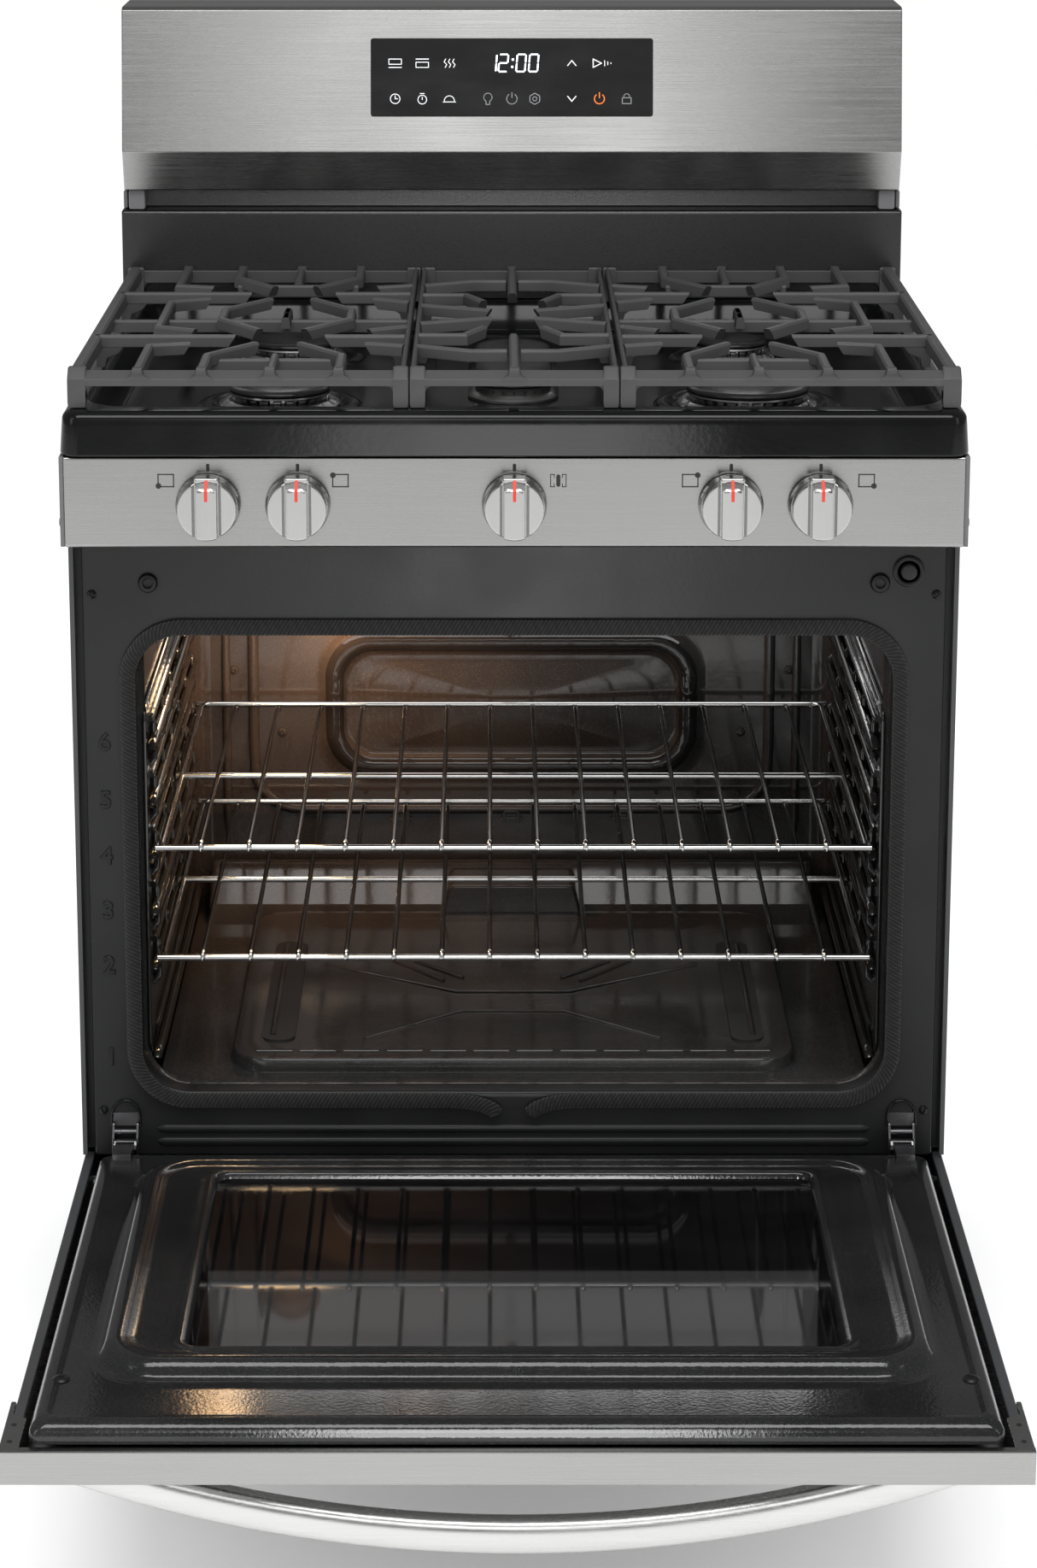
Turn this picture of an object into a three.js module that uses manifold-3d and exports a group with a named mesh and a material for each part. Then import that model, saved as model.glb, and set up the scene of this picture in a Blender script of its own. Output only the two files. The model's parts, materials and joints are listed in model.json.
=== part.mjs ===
// A 30 inch class freestanding gas range with five burners, in millimetres, +Z up.
// Every piece is laid out in the bench frame: X is 0 on the centre line, Y is 0 on the face of the
// control panel and grows towards the wall, Z is 0 on the floor. The exported group then moves the
// origin to the middle of the footprint. The oven door is at rest lying open on its hinges.
import * as THREE from 'three';
import { mergeVertices } from 'three/addons/utils/BufferGeometryUtils.js';
import Module from 'manifold-3d';

const wasm = await Module();
wasm.setup();

// ---------- driving dimensions ----------
const GAP = 0.3;                    // air left between two pieces that touch
const SHEET = 2;                    // sheet metal, drawn thicker than life
const BODY_HALF = 377;              // outer face of a side panel from the centre line
const COOKTOP_HALF = 378;
const TOP_OF_RANGE = 1207;
const RIM_Z = 924;                  // top of the cooktop's rim
const WELL_Z = 896;                 // floor of the cooktop's spill well
const GRATE_Z = 958;                // where a pan stands
const FRAME_Y = 42;                 // face of the oven's front frame
const BACK_Y = 650;                 // back of the whole range
const PANEL_Z = [808, 885.5];       // control panel, bottom and top
const KNOB_Z = 845;
const KNOB_X = { front_left: -254.5, rear_left: -180, centre: 0, rear_right: 180, front_right: 254.5 };
const MOUTH = { half: 322.6, low: 311, high: 723, corner: 40 };
const RACK_Z = [342.5, 424, 474, 524, 574, 624];
const RACK = { half: 312, front: 70, middle: 286, back: 530, wires: 14, pitch: 41.7 };
const BURNER = { x: 204, frontY: 173, rearY: 401 };
const PIVOT = { y: 32, z: 264 };    // the door's hinge pins
const DOOR = { half: 376.4, outer: -43.6, edge: -16, flat: 1, raised: 14, top: 540, bottom: -28 };
const DRAWER_Z = [58, 207];
const FOOTPRINT_Y = [32 - DOOR.top, BACK_Y];

// ---------- finishes ----------
const finish = (color, roughness, metalness) =>
  new THREE.MeshStandardMaterial({ color, roughness, metalness });
const STAINLESS = finish(0xb4b4b2, 0.35, 1);
const PORCELAIN = finish(0x0c0d0e, 0.12, 0);
const BLACK_PAINT = finish(0x1d1e20, 0.45, 0);
const CAST_IRON = finish(0x3a3a3b, 0.6, 0);
const CHROME = finish(0xd8d8d8, 0.15, 1);
const ALUMINIUM = finish(0x9a9a98, 0.4, 1);
const GREY_PLASTIC = finish(0x5c5d5f, 0.5, 0);
const GLASS = finish(0x101214, 0.05, 0);
const ROPE = finish(0x2b2c2d, 0.95, 0);
const ZINC = finish(0x8f9296, 0.45, 1);

// ---------- solids ----------
function solid(geometry) {
  const bare = geometry.index ? geometry.clone() : mergeVertices(geometry.clone());
  bare.deleteAttribute('normal');
  bare.deleteAttribute('uv');
  const merged = mergeVertices(bare, 1e-3);
  const vertProperties = merged.attributes.position.array;
  const triVerts = new Uint32Array(merged.index.array);
  return new wasm.Manifold(new wasm.Mesh({ numProp: 3, vertProperties, triVerts }));
}

function geometryOf(made) {
  const { vertProperties, triVerts } = made.getMesh();
  const geometry = new THREE.BufferGeometry();
  geometry.setAttribute('position', new THREE.BufferAttribute(vertProperties, 3));
  geometry.setIndex(new THREE.BufferAttribute(triVerts, 1));
  geometry.computeVertexNormals();
  return geometry;
}

const joined = (parts) => parts.reduce((all, part) => all.add(part));
const cut = (body, tools) => tools.reduce((left, tool) => left.subtract(tool), body);

function box([x0, x1], [y0, y1], [z0, z1]) {
  const geometry = new THREE.BoxGeometry(Math.abs(x1 - x0), y1 - y0, z1 - z0);
  geometry.translate((x0 + x1) / 2, (y0 + y1) / 2, (z0 + z1) / 2);
  return solid(geometry);
}

// A round-cornered rectangle between two corners, as a flat outline.
function outline([u0, u1], [v0, v1], corner) {
  const shape = new THREE.Shape();
  shape.moveTo(u0 + corner, v0);
  shape.lineTo(u1 - corner, v0);
  shape.absarc(u1 - corner, v0 + corner, corner, -Math.PI / 2, 0, false);
  shape.lineTo(u1, v1 - corner);
  shape.absarc(u1 - corner, v1 - corner, corner, 0, Math.PI / 2, false);
  shape.lineTo(u0 + corner, v1);
  shape.absarc(u0 + corner, v1 - corner, corner, Math.PI / 2, Math.PI, false);
  shape.lineTo(u0, v0 + corner);
  shape.absarc(u0 + corner, v0 + corner, corner, Math.PI, 1.5 * Math.PI, false);
  return shape;
}

// An outline in X and Y raised from z0 to z1. A chamfer of [height, inset] is taken off both ends.
function raised(shape, [z0, z1], chamfer = [0, 0], curveSegments = 3) {
  const [height, inset] = chamfer;
  const geometry = new THREE.ExtrudeGeometry(shape, {
    depth: z1 - z0 - 2 * height,
    curveSegments,
    bevelEnabled: height > 0,
    bevelThickness: height,
    bevelSize: inset,
    bevelOffset: -inset,
    bevelSegments: 1,
  });
  geometry.translate(0, 0, z0 + height);
  return geometry;
}

const slab = (...shape) => solid(raised(...shape));

// The same outline drawn in X and Z, standing between two values of Y.
function plate(shape, [y0, y1], chamfer, curveSegments) {
  const geometry = raised(shape, [-y1, -y0], chamfer, curveSegments);
  geometry.rotateX(Math.PI / 2);
  return solid(geometry);
}

// A closed profile given as [y, z] corners, drawn out between two values of X.
function profile(corners, [x0, x1]) {
  const shape = new THREE.Shape(corners.map(([y, z]) => new THREE.Vector2(y, z)));
  const geometry = new THREE.ExtrudeGeometry(shape, { depth: x1 - x0, bevelEnabled: false });
  const across = new THREE.Matrix4().makeBasis(
    new THREE.Vector3(0, 1, 0),
    new THREE.Vector3(0, 0, 1),
    new THREE.Vector3(1, 0, 0),
  );
  geometry.applyMatrix4(across);
  geometry.translate(x0, 0, 0);
  return solid(geometry);
}

function rod(from, to, radius, sides = 8) {
  const a = new THREE.Vector3(...from);
  const along = new THREE.Vector3(...to).sub(a);
  const geometry = new THREE.CylinderGeometry(radius, radius, along.length(), sides);
  geometry.translate(0, along.length() / 2, 0);
  const up = new THREE.Vector3(0, 1, 0);
  geometry.applyQuaternion(new THREE.Quaternion().setFromUnitVectors(up, along.clone().normalize()));
  geometry.translate(a.x, a.y, a.z);
  return solid(geometry);
}

// A profile of [radius, height] corners turned round its axis, which stands up or faces the room.
const UPRIGHT = Math.PI / 2;
const TO_ROOM = Math.PI;
function turned(corners, segments = 20, axis = UPRIGHT) {
  const points = corners.map(([r, height]) => new THREE.Vector2(r, height));
  const geometry = new THREE.LatheGeometry(points, segments);
  geometry.rotateX(axis);
  return solid(geometry);
}

// A rope along a curve, with closed ends. Its section is round before it is pressed flat in Y.
function rope(path, radius, sides, steps, pressed) {
  const section = new THREE.Shape();
  for (let i = 0; i < sides; i++) {
    const angle = (i / sides) * 2 * Math.PI;
    const point = [radius * Math.cos(angle), radius * Math.sin(angle)];
    if (i === 0) section.moveTo(...point);
    else section.lineTo(...point);
  }
  const geometry = new THREE.ExtrudeGeometry(section, { steps, extrudePath: path, bevelEnabled: false });
  geometry.scale(1, pressed, 1);
  return solid(geometry);
}

// A flat cast bar between two points of a grate's plan.
function bar([x0, y0], [x1, y1], width, [z0, z1]) {
  const length = Math.hypot(x1 - x0, y1 - y0);
  const geometry = new THREE.BoxGeometry(length, width, z1 - z0);
  geometry.rotateZ(Math.atan2(y1 - y0, x1 - x0));
  geometry.translate((x0 + x1) / 2, (y0 + y1) / 2, (z0 + z1) / 2);
  return solid(geometry);
}

// ---------- assemblies ----------
const range = new THREE.Group();

function place(group, name, body, material, [x, y, z] = [0, 0, 0]) {
  const mesh = new THREE.Mesh(geometryOf(body), material);
  mesh.name = name;
  mesh.position.set(x, y, z);
  group.add(mesh);
}

const sides = { left: -1, right: 1 };

// ---------- cabinet ----------
const LEG = { x: 330, y: [85, 600], foot: 16, shaft: 5 };
const BASE_Z = 40;

function sidePanel(s) {
  const height = [BASE_Z + SHEET, PANEL_Z[1]];
  const rear = BACK_Y - 12;
  const skin = box([s * (BODY_HALF - SHEET), s * BODY_HALF], [FRAME_Y, rear], height);
  const lip = [height[0], PANEL_Z[0] - GAP];
  const frontLip = box([s * (BODY_HALF - 4), s * BODY_HALF], [FRAME_Y, FRAME_Y + 8], lip);
  const rearFlange = box([s * (BODY_HALF - 18), s * BODY_HALF], [rear - SHEET, rear], height);
  const doorHeel = box([s * 360, s * 390], [FRAME_Y - 5, FRAME_Y + 21], [208, 252]);
  return joined([skin, frontLip, rearFlange]).subtract(doorHeel);
}

function backPanel() {
  const sheet = box([-372, 372], [BACK_Y - 11.7, BACK_Y - 9.7], [BASE_Z + SHEET, 884]);
  const rib = (z) => box([-300, 300], [BACK_Y - 10, BACK_Y - 5], [z, z + 24]);
  const gasInlet = rod([230, BACK_Y - 11, 140], [230, BACK_Y - 0.5, 140], 14, 12);
  const cordGland = rod([-230, BACK_Y - 11, 140], [-230, BACK_Y - 1, 140], 12, 12);
  return joined([sheet, rib(260), rib(560), rib(760), gasInlet, cordGland]);
}

// The bottom frame: a floor sheet, a front cross member and two rails that the drawer runs on.
function basePan() {
  const sheet = box([-373, 373], [60, BACK_Y - 14], [BASE_Z - SHEET, BASE_Z]);
  const front = box([-373, 373], [60, 62], [BASE_Z - 12, BASE_Z]);
  const rails = [-1, 1].map((s) =>
    box([s * 356, s * 374], [64, BACK_Y - 20], [BASE_Z - 1, BASE_Z + 14]),
  );
  const holes = [-1, 1].flatMap((s) =>
    LEG.y.map((y) => rod([s * LEG.x, y, 20], [s * LEG.x, y, 60], LEG.shaft + GAP, 12)),
  );
  return cut(joined([sheet, front, ...rails]), holes);
}

function levellingLeg() {
  const foot = turned([[0, 0], [LEG.foot, 0], [LEG.foot, 5], [9, 12], [0, 12]], 10);
  const shaft = rod([0, 0, 11], [0, 0, 54], LEG.shaft, 8);
  const nut = rod([0, 0, 30], [0, 0, BASE_Z - SHEET - GAP], 10, 6);
  return joined([foot, shaft, nut]);
}

// ---------- oven ----------
const CAVITY = { half: 320, front: FRAME_Y + SHEET + GAP, back: 556, low: 268, high: 735 };
const HINGE_X = 338.6;
const SWITCH = { x: 334, z: 778 };  // the lamp switch in the front frame

function ovenFrontFrame() {
  const face = outline([-366, 366], [252, PANEL_Z[0] - 2], 1);
  const mouth = outline([-MOUTH.half, MOUTH.half], [MOUTH.low, MOUTH.high], MOUTH.corner);
  const cutOut = plate(mouth, [FRAME_Y - 5, FRAME_Y + 40]);
  const slots = [-1, 1].map((s) =>
    box([s * HINGE_X - 13, s * HINGE_X + 13], [FRAME_Y - 5, FRAME_Y + 9], [240, 279]),
  );
  const { x, z: switchZ } = SWITCH;
  const collar = rod([x, FRAME_Y - 4, switchZ], [x, FRAME_Y + 1, switchZ], 13, 16);
  const bore = rod([x, FRAME_Y - 9, switchZ], [x, FRAME_Y + 9, switchZ], 8, 12);
  const z = [252, PANEL_Z[0] - 2];
  const stiles = [-1, 1].flatMap((s) => [
    box([s * 364, s * 366], [FRAME_Y, FRAME_Y + 16], z),
    box([s * 364, s * (BODY_HALF - SHEET - GAP)], [FRAME_Y + 14, FRAME_Y + 16], z),
  ]);
  const ribs = [265, 276.8].map((middle) =>
    profile(
      [[FRAME_Y + 1, middle - 3], [FRAME_Y + 1, middle + 3], [FRAME_Y - 2.2, middle]],
      [-311, 311],
    ),
  );
  const body = plate(face, [FRAME_Y, FRAME_Y + SHEET]);
  return cut(joined([body, collar, ...stiles, ...ribs]), [cutOut, bore, ...slots]);
}

function ovenCavity() {
  const { half, front, back, low, high } = CAVITY;
  const wall = SHEET;
  const outside = box([-half - wall, half + wall], [front, back + wall], [low - wall, high + wall]);
  const inside = box([-half, half], [front - 5, back], [low, high]);
  const flue = box([-70, 70], [back - 5, back + wall + 5], [high - 42, high - 14]);
  return cut(outside, [inside, flue]);
}

// The lift-out floor over the oven burner: a plateau, two burner slots and a raised rear ledge.
function ovenFloor() {
  const ledge = box([-312, 312], [48, 545], [308, 310]);
  const plateau = slab(outline([-244, 244], [95, 486], 34), [296, 323], [8, 7]);
  const under = slab(outline([-242, 242], [97, 484], 32), [294, 321], [8, 7]);
  const rear = profile([[484, 308], [552, 308], [552, 360], [498, 326]], [-300, 300]);
  const slots = [-1, 1].map((s) =>
    slab(outline([s * 192 - 9, s * 192 + 9], [140, 360], 8), [290, 330], [0, 0], 3),
  );
  const opening = slab(outline([-240, 240], [99, 482], 30), [300, 312]);
  const below = box([-400, 400], [0, 700], [280, 308]);
  return cut(joined([cut(ledge, [opening]), cut(plateau, [under]), rear]), [...slots, below]);
}

function ovenGasket() {
  const [radius, pressed] = [6.5, 0.6];
  const half = MOUTH.half + radius;
  const [low, high] = [MOUTH.low - radius, MOUTH.high + radius];
  const corner = MOUTH.corner + radius;
  const path = new THREE.CurvePath();
  const at = (x, z) => new THREE.Vector3(x, 0, z);
  const line = (a, b) => path.add(new THREE.LineCurve3(a, b));
  const bend = (a, m, b) => path.add(new THREE.QuadraticBezierCurve3(a, m, b));
  bend(at(-14, low - 13), at(-22, low), at(-60, low));
  line(at(-60, low), at(-half + corner, low));
  bend(at(-half + corner, low), at(-half, low), at(-half, low + corner));
  line(at(-half, low + corner), at(-half, high - corner));
  bend(at(-half, high - corner), at(-half, high), at(-half + corner, high));
  line(at(-half + corner, high), at(half - corner, high));
  bend(at(half - corner, high), at(half, high), at(half, high - corner));
  line(at(half, high - corner), at(half, low + corner));
  bend(at(half, low + corner), at(half, low), at(half - corner, low));
  line(at(half - corner, low), at(60, low));
  bend(at(60, low), at(22, low), at(14, low - 13));
  return rope(path, radius, 6, 52, pressed);
}

// The side wall's pressed guide: six ledges, each with a lip above it that stops the rack tipping.
function rackGuide(s) {
  const inner = CAVITY.half - GAP;
  const sheet = box([s * (inner - SHEET), s * inner], [60, 548], [330, 655]);
  const ledges = RACK_Z.map((z) =>
    box([s * 303, s * (inner - 1)], [72, 540], [z - 11, z - 3 - GAP]),
  );
  return joined([sheet, ...ledges]);
}

function ovenRack(z) {
  const { half, front, middle, back, wires, pitch } = RACK;
  const thick = 3;
  const thin = 1.7;
  const cross = [front, middle, back].map((y) =>
    box([-half, half], [y - thick, y + thick], [z - thick, z + thick]),
  );
  const rails = [-1, 1].map((s) => {
    const x = s * (half - 6);
    return box([x - 2.5, x + 2.5], [front, back], [z - 2.5, z + 2.5]);
  });
  const runs = [];
  for (let i = 0; i < wires; i++) {
    const x = (i - (wires - 1) / 2) * pitch;
    runs.push(box([x - thin, x + thin], [front - 4, back + 4], [z + thick - 1, z + thick + 2 * thin]));
  }
  return joined([...cross, ...rails, ...runs]);
}

// The burner under the oven floor: a feed pipe and a long U-shaped flame tube.
function bakeBurner() {
  const z = 286;
  const legs = [-1, 1].map((s) => rod([s * 192, 130, z], [s * 192, 372, z], 8, 8));
  const bridge = rod([-192, 372, z], [192, 372, z], 8, 8);
  const feed = rod([0, 372, z], [0, 548, z], 10, 8);
  return joined([...legs, bridge, feed]);
}

// The broiler under the oven roof: a central tube with a sheet flame spreader above it.
function broilBurner() {
  const spreader = profile([[120, 722], [500, 722], [500, 724], [120, 724]], [-120, 120]);
  const pipe = rod([0, 120, 714], [0, 548, 714], 10, 8);
  return joined([spreader, pipe]);
}

// The lamp's round glass cover, on the oven's back wall.
const ovenLamp = () => turned([[0, 0], [30, 0], [30, 6], [24, 16], [12, 21], [0, 22]], 16, TO_ROOM);

// ---------- cooktop ----------
function cooktop() {
  const [front, rear] = [-5, 604];
  const outside = slab(outline([-COOKTOP_HALF, COOKTOP_HALF], [front, rear], 16), [886, RIM_Z], [3, 3]);
  const inner = COOKTOP_HALF - 2.5;
  const inside = slab(outline([-inner, inner], [front + 2.5, rear - 2.5], 14), [870, RIM_Z - 2.5]);
  const wellOutline = (grow) => outline([-356 - grow, 356 + grow], [26 - grow, 552 + grow], 36 + grow);
  const depth = RIM_Z - WELL_Z;
  const well = slab(wellOutline(0), [WELL_Z, RIM_Z + 60], [depth, 20]);
  const under = slab(wellOutline(2.5), [WELL_Z - 2.5, RIM_Z + 60], [depth, 20]);
  const holes = BURNERS.map(({ x, y }) => rod([x, y, 880], [x, y, 905], 17, 12));
  return cut(outside, [inside.subtract(under), well, ...holes]);
}

const BURNERS = [
  { name: 'front_left', x: -BURNER.x, y: BURNER.frontY, head: 43, skirt: 53 },
  { name: 'front_right', x: BURNER.x, y: BURNER.frontY, head: 52, skirt: 61 },
  { name: 'rear_left', x: -BURNER.x, y: BURNER.rearY, head: 40, skirt: 49 },
  { name: 'rear_right', x: BURNER.x, y: BURNER.rearY, head: 32, skirt: 41 },
  { name: 'centre', x: 0, y: (BURNER.frontY + BURNER.rearY) / 2, oval: 112 },
];

// A burner's pieces stand on the well: local z is 0 on the well's floor.
function burnerHead({ head, skirt, oval }) {
  if (oval) {
    const lower = slab(outline([-40, 40], [-oval - 5, oval + 5], 39), [GAP, 5], [1.5, 4], 4);
    const upper = slab(outline([-34, 34], [-oval, oval], 33), [4, 13], [0, 0], 4);
    return joined([lower, upper, rod([0, 0, -18], [0, 0, 2], 14, 12)]);
  }
  return turned([
    [0, -18], [14, -18], [14, GAP], [skirt, GAP], [skirt, 2.5], [head + 1.5, 6], [head, 13], [0, 13],
  ]);
}

function burnerCap({ head, oval }) {
  const [low, high] = [13 + GAP, 19.5];
  if (oval) return slab(outline([-35, 35], [-oval - 1, oval + 1], 34), [low, high], [2, 3], 4);
  return turned([[0, low], [head - 1, low], [head + 1, low + 1.5], [head - 3, high], [0, high]]);
}

// Grates are drawn round their own middle: u to the right, v towards the front.
const GRATE = { middleY: 284, half: 272, width: 9, deep: [948, GRATE_Z], low: [941, 951] };

function grateBars(paths, [cx, cy]) {
  const made = [];
  for (const { points, z = GRATE.deep, width = GRATE.width } of paths) {
    for (let i = 1; i < points.length; i++) {
      const [a, b] = [points[i - 1], points[i]];
      for (const s of [1, -1]) {
        made.push(bar([cx + a[0], cy - s * a[1]], [cx + b[0], cy - s * b[1]], width, z));
      }
    }
  }
  return made;
}

function grateFeet(us, [cx, cy], width) {
  return us.flatMap((u) =>
    [-1, 1].map((s) => {
      const y = cy + s * (GRATE.half - 6);
      return box([cx + u - width / 2, cx + u + width / 2], [y - 6, y + 6], [RIM_Z + GAP, GRATE_Z]);
    }),
  );
}

// The grate over a front and a rear burner. The side that faces the range's end is wider.
function sideGrate(s) {
  const centre = [s * 203, GRATE.middleY];
  const outer = s * 160;
  const inner = -s * 108.5;
  const end = GRATE.half - 5;
  const ring = [57, -57].map((u) => ({ points: [[u, end], [u, 203], [u / 3, 144]] }));
  const hexagon = [57, -57].map((u) => ({ points: [[u / 3, 85], [u, 26], [u, 0]] }));
  const burnerFingers = [outer, inner].map((u) => ({ points: [[u, 113], [Math.sign(u) * 38, 113]] }));
  const paths = [
    { points: [[outer, end], [outer, 0]], width: 11 },
    { points: [[inner, end], [inner, 0]], width: 10 },
    { points: [[outer, end], [inner, end]], z: [944, 954], width: 10 },
    { points: [[outer, 0], [inner, 0]], z: GRATE.low, width: 8 },
    { points: [[-57, 192], [57, 192]], z: GRATE.low, width: 8 },
    { points: [[0, end], [0, 192]], z: [941, 956], width: 8 },
    { points: [[0, 24], [0, 0]] },
    { points: [[s * 110, end], [s * 110, 158], [s * 74, 149]] },
    { points: [[s * 110, 0], [s * 110, 66], [s * 74, 85]] },
    { points: [[inner, 158], [-s * 74, 149]] },
    { points: [[inner, 66], [-s * 74, 85]] },
    ...ring,
    ...hexagon,
    ...burnerFingers,
  ];
  const feet = [...grateFeet([outer], centre, 16), ...grateFeet([inner], centre, 12)];
  return joined([...grateBars(paths, centre), ...feet]);
}

function centreGrate() {
  const centre = [0, GRATE.middleY];
  const end = GRATE.half - 5;
  const side = 83;
  const wings = [1, -1].flatMap((s) => [
    { points: [[s * side, end], [s * side, 0]], width: 9 },
    { points: [[s * side, 158], [s * 38, 184], [0, 184]] },
    { points: [[s * side, 106], [s * 43, 106], [s * 26, 64]] },
    { points: [[s * side, 48], [s * 19, 20]] },
  ]);
  const paths = [
    { points: [[-side, end], [side, end]], z: [944, 954], width: 10 },
    { points: [[0, end], [0, 105]] },
    ...wings,
  ];
  return joined([...grateBars(paths, centre), ...grateFeet([-side + 0.5, side - 0.5], centre, 10)]);
}

// ---------- controls ----------
function controlPanel() {
  const half = 374.3;
  const face = box([-half, half], [0, SHEET], PANEL_Z);
  const top = box([-half, half], [0, 40], [PANEL_Z[1] - SHEET, PANEL_Z[1]]);
  const bottom = box([-half, half], [0, FRAME_Y - 2], [PANEL_Z[0], PANEL_Z[0] + SHEET]);
  const holes = Object.values(KNOB_X).map((x) => rod([x, -5, KNOB_Z], [x, 10, KNOB_Z], 6.5, 12));
  return cut(joined([face, top, bottom]), holes);
}

// The plastic end caps, on the stiffener that runs behind the panel.
function panelBracket() {
  const caps = [-1, 1].map((s) =>
    box([s * 374.6, s * 378.5], [1.5, 41], [PANEL_Z[0] + 0.5, PANEL_Z[1]]),
  );
  const bridge = box([-376, 376], [14, 16], [KNOB_Z - 22, KNOB_Z + 22]);
  const holes = Object.values(KNOB_X).map((x) => rod([x, 5, KNOB_Z], [x, 25, KNOB_Z], 6.5, 12));
  return cut(joined([bridge, ...caps]), holes);
}

// One pipe feeds five valves, and a tube runs from each valve to its burner.
function gasManifold() {
  const pipeY = 74;
  const parts = [rod([-300, pipeY, KNOB_Z], [320, pipeY, KNOB_Z], 10, 6)];
  const bores = [];
  for (const { name, x, y } of BURNERS) {
    const valveX = KNOB_X[name];
    const rear = Math.max(y, pipeY + 20);
    parts.push(box([valveX - 13, valveX + 13], [24, pipeY], [KNOB_Z - 14, KNOB_Z + 14]));
    parts.push(rod([valveX, pipeY, KNOB_Z], [x, rear, KNOB_Z + 8], 5, 6));
    parts.push(rod([x, rear, KNOB_Z + 2], [x, rear, 877], 7, 6));
    bores.push(rod([valveX, 20, KNOB_Z], [valveX, 50, KNOB_Z], 4.6, 12));
  }
  return cut(joined(parts), bores);
}

// A knob's local Y is 0 on the panel's face. It stands 4 mm off the panel, to leave room to press it.
function knob() {
  const round = turned([[0, 4], [27, 4], [27, 7], [24.6, 24], [23.6, 25], [0, 25]], 20, TO_ROOM);
  const grip = box([-9.5, 9.5], [-29, -16], [-24, 26]);
  const pointer = box([-9.5, 9.5], [-20, -5], [20, 28.5]);
  const bore = rod([0, 0, 0], [0, -22.5, 0], 4.4, 12);
  return cut(joined([round, grip, pointer]), [bore]);
}

const valveStem = () => rod([0, -18, 0], [0, 45, 0], 4, 12);

// The oven lamp's switch in the front frame, which the door presses.
const switchPlunger = () => joined([rod([0, -7, 0], [0, 6, 0], 7, 12), rod([0, 5.3, 0], [0, 7.3, 0], 10, 12)]);

// ---------- backguard ----------
const HEAD_HALF = 374.5;
const HEAD_FACE = { crease: [543, 1070], brow: [566, 1197] };
const GLASS_SIZE = { half: 135.5, height: 75, thick: 3, above: 34 };

function backguardLower() {
  const skin = [
    [561, RIM_Z + GAP], [BACK_Y - 2, RIM_Z + GAP], [BACK_Y - 2, 1029], [592, 1029], [592, 1011], [561, 1011],
  ];
  const hollow = [
    [563, 900], [BACK_Y - 4, 900], [BACK_Y - 4, 1027], [594, 1027], [594, 1009], [563, 1009],
  ];
  const body = profile(skin, [-COOKTOP_HALF, COOKTOP_HALF]);
  const vent = box([-300, 300], [585, 600], [1014, 1024]);
  return cut(body, [profile(hollow, [-COOKTOP_HALF + 2, COOKTOP_HALF - 2]), vent]);
}

function glassFrame() {
  const [low, high] = [HEAD_FACE.crease, HEAD_FACE.brow];
  const lean = Math.atan2(high[0] - low[0], high[1] - low[1]);
  const up = [Math.sin(lean), Math.cos(lean)];
  return { lean, middle: [low[0] + up[0] * (GLASS_SIZE.above + 37), low[1] + up[1] * (GLASS_SIZE.above + 37)] };
}

function glassBlock(grow) {
  const { half, height, thick } = GLASS_SIZE;
  const { lean, middle } = glassFrame();
  const geometry = new THREE.BoxGeometry(2 * (half + grow), thick + 20 * grow, height + 2 * grow);
  geometry.rotateX(-lean);
  geometry.translate(0, middle[0] + thick / 2 - 0.4, middle[1]);
  return solid(geometry);
}

function backguardHead() {
  const rear = BACK_Y;
  const skin = [
    [556, 1031], HEAD_FACE.crease, HEAD_FACE.brow, [572, 1205], [580, TOP_OF_RANGE],
    [rear - 4, TOP_OF_RANGE], [rear, 1203], [rear, 1031],
  ];
  const hollow = [
    [559, 1020], [546, 1070], [569, 1196], [575, 1203], [580, 1205], [rear - 3, 1205], [rear - 3, 1020],
  ];
  const body = profile(skin, [-HEAD_HALF, HEAD_HALF]);
  return cut(body, [profile(hollow, [-HEAD_HALF + 3, HEAD_HALF - 3]), glassBlock(GAP)]);
}

// ---------- oven door ----------
// Drawn shut, round its hinge line: y 0 and z 0 on the pins, -y out into the room.
const WINDOW = { half: 252, z: [89, 424], corner: 12 };
const TRIM = { half: 381, z: 498.3, sideZ: 493 };

function doorSkin() {
  const { half, outer, edge, bottom } = DOOR;
  const high = TRIM.z - GAP;
  const outside = box([-half, half], [outer, edge], [bottom, high]);
  const inside = box([-half + SHEET, half - SHEET], [outer + SHEET, edge + 5], [bottom + SHEET, high + 5]);
  const window = plate(outline([-262, 262], [110, 408], 10), [outer - 5, outer + 5]);
  const endBlocks = [-1, 1].map((s) =>
    box([s * (half - 1), s * TRIM.half], [outer + 1, edge], [462, TRIM.sideZ - GAP]),
  );
  const hingeSlots = [-1, 1].map((s) =>
    box([s * HINGE_X - 14, s * HINGE_X + 14], [-25, 0], [bottom - 5, bottom + 5]),
  );
  return cut(joined([cut(outside, [inside, window]), ...endBlocks]), hingeSlots);
}

// The bright channel along the door's top edge, with a return down each side.
function doorTopTrim() {
  const { outer, edge, top } = DOOR;
  const shell = box([-TRIM.half, TRIM.half], [outer, edge], [TRIM.sideZ, top]);
  const inner = DOOR.half + GAP;
  const hollow = box([-TRIM.half + 3, TRIM.half - 3], [outer + SHEET, edge + 5], [480, top - SHEET]);
  const below = box([-inner, inner], [outer - 5, edge + 5], [480, TRIM.z]);
  return cut(shell, [hollow, below]);
}

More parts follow.
